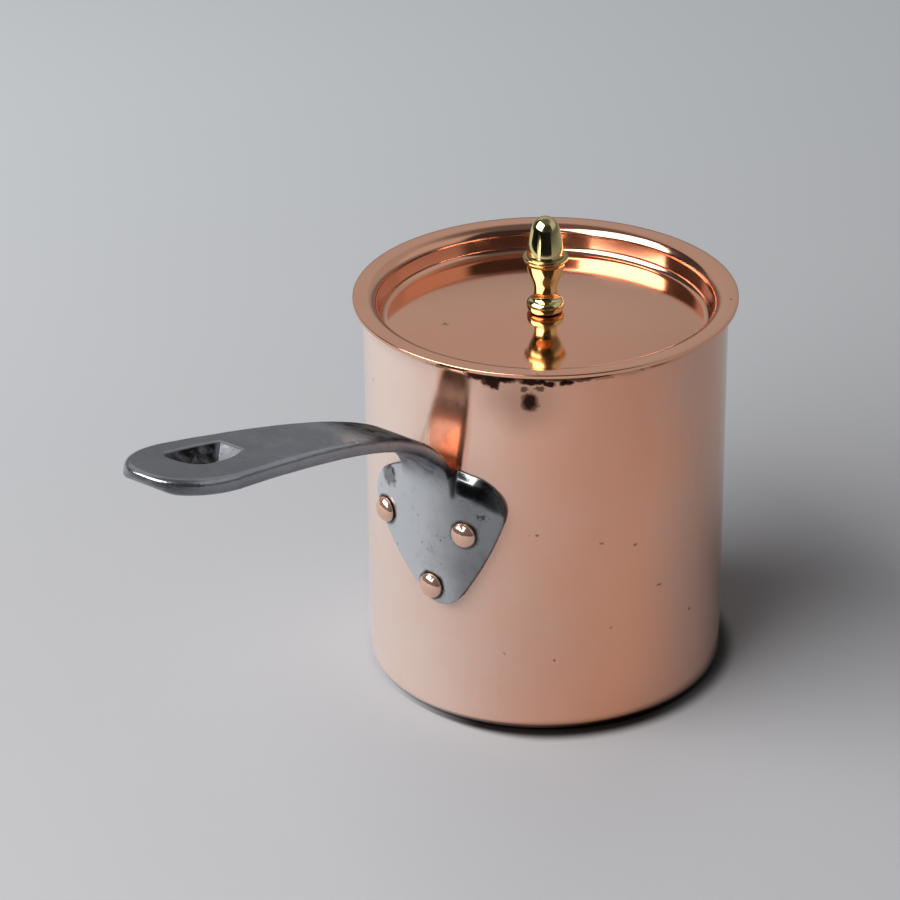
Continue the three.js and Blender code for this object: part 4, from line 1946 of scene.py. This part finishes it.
    def dress(self, iron: bpy.types.Material) -> None:
        """Makes the handle.

        Args:
            iron: Its finish.
        """
        bar = self.forged_mesh()
        piece = make_piece(bar, "forged_handle", Body.PAN, "handle", iron, crease=60)
        piece.modifiers.new("even_shading", "WEIGHTED_NORMAL").weight = 60


@dataclass
class Rivets:
    """The three copper rivets, each named, with a domed head outside and a flat one inside."""

    handle: Handle
    shank: float = 2.5
    head: float = 4.25
    dome: float = 2.7
    inside_head: float = 4.6
    inside_height: float = 1.2
    upper_left: Point = (18.9, -1.4)
    upper_right: Point = (-14.2, 0.2)
    lower: Point = (-1.8, -21.4)
    seat: float = 0.2
    dent: float = 0.003
    dent_size: float = 5.0
    segments: int = 40

    def places(self) -> dict[str, tuple[float, float]]:
        """Finds each rivet.

        Returns:
            For each CAD node, its angle round the pot and its height.
        """
        on_lug = {
            "rivet_upper_left": self.upper_left,
            "rivet_upper_right": self.upper_right,
            "rivet_lower": self.lower,
        }
        face, middle = self.handle.face, self.handle.lug_middle
        return {node: (math.pi - side / face, middle + rise) for node, (side, rise) in on_lug.items()}

    def centres(self) -> tuple[Vector, ...]:
        """Gives the middle of each head on the lug's face, in metres."""
        face = self.handle.face
        return tuple(
            Vector((face * math.cos(angle), face * math.sin(angle), height)) * MM
            for angle, height in self.places().values()
        )

    def rivet_mesh(self, node: str) -> bmesh.types.BMesh:
        """Turns one rivet, marks it with the hammer and points it out of the wall.

        Args:
            node: The CAD node that it stands for.

        Returns:
            The mesh.
        """
        angle, height = self.places()[node]
        pot = self.handle.pot
        inner = math.sqrt(pot.lined**2 - self.inside_head**2) - self.seat
        outer = self.handle.face + 0.05
        top = outer + self.dome + 0.15
        outline = Outline(0, inner - self.inside_height)
        outline.to(self.inside_head - 0.9, inner - self.inside_height, parts=2)
        outline.flow(
            (self.inside_head, inner - self.inside_height),
            (self.inside_head, inner - 0.5),
            (self.inside_head, inner),
            parts=4,
        )
        outline.to(self.shank, inner)
        outline.to(self.shank, outer)
        outline.to(self.head - 0.35, outer)
        outline.flow((self.head, outer), (self.head, outer + 0.3), (self.head, outer + 0.5), parts=3)
        outline.flow((self.head, outer + 1.7), (self.head * 0.58, top), (0, top), parts=12)
        mesh = turned(outline, self.segments)
        for vert in mesh.verts:
            if vert.co.z > outer * MM:
                knock = noise.noise(vert.co / (self.dent_size * MM) + Vector((height, 0, 0)))
                vert.co *= 1 + self.dent * knock
        out = Matrix.Rotation(angle, 4, "Z") @ Matrix.Rotation(math.pi / 2, 4, "Y")
        bmesh.ops.transform(mesh, matrix=Matrix.Translation((0, 0, height * MM)) @ out, verts=mesh.verts)
        bmesh.ops.recalc_face_normals(mesh, faces=mesh.faces)
        return mesh

    def dress(self, copper: bpy.types.Material) -> None:
        """Makes the rivets.

        Args:
            copper: Their finish.
        """
        for node in self.places():
            rivet = self.rivet_mesh(node)
            make_piece(rivet, f"{node}_head", Body.PAN, node, copper)


def cool(level: float) -> Colour:
    """Gives the room's faintly cool grey at a brightness."""
    return (level, level * 1.02, level * 1.05, 1)


@dataclass
class Studio:
    """The pale floor, the soft light and the camera."""

    pot: Pot
    camera_place: Vector = field(default_factory=lambda: Vector((-767.5, -578.4, 563.6)))
    camera_target: Vector = field(default_factory=lambda: Vector((-25.6, 20.0, 77.4)))
    camera_roll: float = -0.76
    lens: float = 129.6
    sensor: float = 36.0
    floor_radius: float = 6.0
    fill: float = 0.15
    window_distance: float = 1.6
    window_turn: float = 62.0
    window_height: float = 44.0
    window_size: Point = (1.8, 1.3)
    window_power: float = 40.0
    screen_distance: float = 0.70
    screen_height: float = 0.30
    screens: tuple[Point, ...] = ((-40.0, 47.0), (53.0, 108.0))
    screen_parts: int = 16
    screen_colour: Colour = (0.02, 0.02, 0.022, 1)

    # How bright the room's walls are, low and high, at shares of a turn round the pan
    low_walls: tuple[Point, ...] = (
        (0.0, 0.16),
        (0.30, 0.15),
        (0.40, 0.05),
        (0.78, 0.04),
        (0.90, 0.15),
        (1.0, 0.16),
    )
    high_walls: tuple[Point, ...] = (
        (0.0, 0.44),
        (0.03, 0.38),
        (0.14, 0.40),
        (0.18, 0.50),
        (0.32, 0.50),
        (0.35, 0.04),
        (0.53, 0.03),
        (0.56, 0.20),
        (0.74, 0.20),
        (0.76, 0.04),
        (0.87, 0.05),
        (0.90, 0.45),
        (1.0, 0.44),
    )

    # Where the low walls give way to the high ones, and those to the ceiling
    walls_change: Point = (0.12, 0.40)
    ceiling_change: Point = (0.70, 0.95)
    ceiling: Colour = (0.13, 0.13, 0.135, 1)

    @property
    def towards_camera(self) -> float:
        """The level direction from the pan to the camera, as an angle."""
        return math.atan2(self.camera_place.y, self.camera_place.x)

    def camera(self) -> None:
        """Sets the camera where the photograph was taken from."""
        data = bpy.data.cameras.new("portrait")
        data.lens, data.sensor_width = self.lens, self.sensor
        data.clip_start, data.clip_end = 0.05, 50.0
        camera = bpy.data.objects.new("portrait", data)
        sight = (self.camera_target - self.camera_place).to_track_quat("-Z", "Y")
        camera.rotation_mode = "QUATERNION"
        camera.rotation_quaternion = sight @ Quaternion((0, 0, 1), math.radians(self.camera_roll))
        camera.location = self.camera_place * MM
        bpy.context.scene.collection.objects.link(camera)
        bpy.context.scene.camera = camera

    def floor(self) -> None:
        """Lays the floor."""
        mesh = bmesh.new()
        bmesh.ops.create_circle(mesh, cap_ends=True, segments=96, radius=self.floor_radius)
        as_object(mesh, "paper_floor", PaperFinish(self.pot.radius).build())

    def window(self) -> None:
        """Hangs the large soft light, to the left of the camera and above it."""
        turn = self.towards_camera - math.radians(self.window_turn)
        up = math.radians(self.window_height)
        out = Vector((math.cos(turn) * math.cos(up), math.sin(turn) * math.cos(up), math.sin(up)))
        data = bpy.data.lights.new("window", "AREA")
        data.shape, data.energy = "RECTANGLE", self.window_power
        data.size, data.size_y = self.window_size
        light = bpy.data.objects.new("window", data)
        light.location = out * self.window_distance
        light.rotation_mode = "QUATERNION"
        light.rotation_quaternion = out.to_track_quat("Z", "Y")
        bpy.context.scene.collection.objects.link(light)

    def screen(self) -> None:
        """Stands the dark near side of the room round the pan, which only polished metal shows."""
        mesh = bmesh.new()
        rise = Vector((0, 0, self.screen_height))
        for right, left in self.screens:
            rows: list[tuple[bmesh.types.BMVert, bmesh.types.BMVert]] = []
            for step in range(self.screen_parts + 1):
                aside = math.radians(blend(right, left, step / self.screen_parts))
                turn = self.towards_camera - aside
                place = Vector((math.cos(turn), math.sin(turn), 0)) * self.screen_distance
                rows.append((mesh.verts.new(place), mesh.verts.new(place + rise)))
            for near, far in zip(rows, rows[1:]):
                mesh.faces.new((near[0], far[0], far[1], near[1]))
        material, _, shader = start_material("dark_side", 0.0)
        shader.inputs["Base Color"].default_value = self.screen_colour
        shader.inputs["Roughness"].default_value = 1.0
        shader.inputs["Specular IOR Level"].default_value = 0.0
        screen = as_object(mesh, "dark_side", material)
        screen.visible_camera = screen.visible_diffuse = screen.visible_shadow = False

    @staticmethod
    def _round_levels(
        wiring: Wiring, share: bpy.types.NodeSocket, levels: Sequence[Point]
    ) -> bpy.types.NodeSocket:
        """Turns a direction into the brightness of the room there.

        Args:
            wiring: The world's wiring.
            share: The direction, from 0 behind the pan over 0.5 at the camera to 1 behind it again.
            levels: Some directions, each with the brightness there.

        Returns:
            The output that holds the room's colour there.
        """
        ramp = wiring.add("ShaderNodeValToRGB", {0: share})
        ramp.color_ramp.interpolation = "EASE"
        stops = ramp.color_ramp.elements
        stops[0].position, stops[1].position = levels[0][0], levels[-1][0]
        for position, _ in levels[1:-1]:
            stops.new(position)
        for stop, (_, level) in zip(stops, levels):
            stop.color = cool(level)
        return ramp.outputs["Color"]

    def room(self) -> None:
        """Paints the room: even light for dull surfaces, and for metal walls that differ all round."""
        world = bpy.data.worlds.new("room")
        bpy.context.scene.world = world
        world.use_nodes = True
        wiring = Wiring(world.node_tree)
        world.node_tree.nodes.clear()
        way = wiring.add("ShaderNodeTexCoord").outputs["Generated"]
        x, y, height = wiring.add("ShaderNodeSeparateXYZ", {0: way}).outputs
        behind = self.towards_camera / math.tau + 1.5
        turn = wiring.plus(behind, wiring.sum("ARCTAN2", y, x), -1 / math.tau)
        share = wiring.sum("FRACT", turn)
        low = self._round_levels(wiring, share, self.low_walls)
        high = self._round_levels(wiring, share, self.high_walls)
        walls = wiring.mix(wiring.ease(height, *self.walls_change), low, high)
        walls = wiring.mix(wiring.ease(height, *self.ceiling_change), walls, self.ceiling)
        path = wiring.add("ShaderNodeLightPath").outputs
        seen = wiring.most(path["Is Camera Ray"], path["Is Glossy Ray"])
        colour = wiring.mix(seen, cool(self.fill), walls)
        light = wiring.add("ShaderNodeBackground", {"Color": colour, "Strength": 1.0}).outputs[0]
        wiring.add("ShaderNodeOutputWorld", {"Surface": light})

    def build(self) -> None:
        """Sets up the whole studio."""
        self.camera()
        self.floor()
        self.window()
        self.screen()
        self.room()
        bpy.context.scene.view_settings.view_transform = "Standard"


def main() -> None:
    """Builds the pan, piece by piece, and then the studio."""
    logging.basicConfig(level=logging.INFO, format="%(message)s")
    nodes = ("pot_body", "lid", "lid_tin_lining", "handle", "lid_knob")
    pot_high, lid_high, tin_high, handle_high, knob_high = (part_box(node)[1] for node in nodes)
    washer_low, washer_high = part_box("knob_washer")
    tip_reach = 189.4
    knob_gap = 0.2

    pot = Pot(radius=pot_high.x / MM, height=pot_high.z / MM)
    lid = Lid(
        pot,
        top=lid_high.z / MM,
        flange_radius=lid_high.x / MM,
        dish_radius=tin_high.x / MM - Lid.sheet - pot.tin_gap - pot.tin,
    )
    handle = Handle(pot, tip=Vector((tip_reach, handle_high.z / MM)))
    rivets = Rivets(handle)
    foot = lid.crown_top + knob_gap
    knob = Knob(
        foot=foot,
        height=knob_high.z / MM - foot,
        washer_top=washer_high.z / MM,
        washer_under=washer_low.z / MM,
        tail=washer_low.z / MM - knob_gap,
    )

    workshop = Workshop()
    # Painted dark reflections under the rim, of the camera and other dark things in the room
    rim_dark_reflections = (
        Blot(-16.0, 127.4, 5.2, 2.0, 600.0, soft=0.6, ragged=0.7),
        Blot(-20.6, 126.3, 4.6, 3.7, 600.0, soft=0.6, ragged=0.7),
        Blot(-25.0, 127.3, 4.4, 1.7, 600.0, soft=0.6, ragged=0.7),
        Blot(-33.6, 126.9, 6.4, 1.5, 600.0, soft=0.6, ragged=0.8),
        Blot(-38.0, 126.4, 3.0, 1.3, 600.0, soft=0.6, ragged=0.8),
        Blot(-43.3, 126.6, 2.8, 1.3, 600.0, soft=0.6, ragged=0.7),
        Blot(-48.0, 127.1, 4.0, 0.6, strength=0.6),
        Blot(-55.0, 127.0, 3.6, 0.5, strength=0.4),
        Blot(-32.3, 120.0, 4.2, 4.8, 550.0, soft=0.7, ragged=0.32),
        Blot(-30.0, 120.5, 19.0, 14.0, 60.0, soft=1.0, strength=0.34, ragged=0.3),
        Blot(-30.8, 124.3, 2.4, 1.3, soft=0.7, strength=0.8),
        Blot(-35.5, 124.7, 2.2, 1.1, soft=0.7, strength=0.8),
    )
    wall_specks = (
        Blot(-34.6, 73.0, 0.7, 0.6, soft=0.7, strength=0.55),
        Blot(-54.7, 68.7, 1.0, 0.5, soft=0.7, strength=0.5),
        Blot(-65.9, 65.8, 1.1, 0.6, soft=0.7, strength=0.6),
        Blot(-75.3, 48.2, 1.6, 0.5, soft=0.7, strength=0.6),
        Blot(-58.0, 37.2, 0.7, 0.5, soft=0.7, strength=0.5),
        Blot(-24.5, 28.8, 0.6, 0.6, soft=0.7, strength=0.5),
    )
    shell_copper = CopperFinish(
        "shell_copper",
        colour=(0.93, 0.46, 0.30, 1),
        warmer=(0.90, 0.41, 0.25, 1),
        # Painted sheen, thickest on the lit side
        sheen_film=0.56,
        # Patches bare of the painted sheen, where the handle's reflection falls on the wall
        rubbed=(
            Blot(-5.2, 98.0, 7.9, 27.0, 60.0, ragged=0.1),
            Blot(-7.9, 114.0, 7.0, 25.0, 60.0, ragged=0.1),
        ),
        rim_reflection_band=(126.6, 128.2),
        foot_shade_band=(0.3, 3.6),
        radius=pot.radius,
        blots=rim_dark_reflections + wall_specks,
    ).build(workshop)
    crown_mark_reach = 33.6
    lid_copper = CopperFinish(
        "lid_copper",
        colour=(0.93, 0.485, 0.32, 1),
        roughness=0.10,
        speck_share=0.012,
        radius=crown_mark_reach,
        blots=(Blot(38.5, 124.0, 1.8, 1.5, 900.0, soft=0.8, strength=0.7),),
    ).build(workshop)
    rivet_copper = CopperFinish(
        "rivet_copper",
        roughness=0.08,
        speck_share=0.0,
        # An even veil of painted sheen all over
        sheen_film=0.22,
        sheen_reach=(-120.0, -90.0),
    ).build(workshop)
    iron = IronFinish(
        "iron",
        rivets.centres(),
        rivets.head,
        radius=handle.face,
        blots=(
            Blot(16.0, 83.9, 4.6, 5.2, 500.0, soft=0.55, strength=1.7, ragged=0.4),
            Blot(-19.5, 58.0, 7.0, 14.0, 90.0, soft=0.9, strength=0.45),
        ),
        crusts=(Blot(-18.6, 79.6, 2.2, 1.4, 1100.0, soft=0.9, strength=0.7, ragged=1.9),),
    ).build(workshop)
    tin = TinFinish("tin").build(workshop)
    brass = BrassFinish("brass").build(workshop)

    pot.dress(shell_copper, tin)
    handle.dress(iron)
    rivets.dress(rivet_copper)
    lid.dress(lid_copper, tin)
    knob.dress(brass)
    Studio(pot).build()


if __name__ == "__main__":
    main()
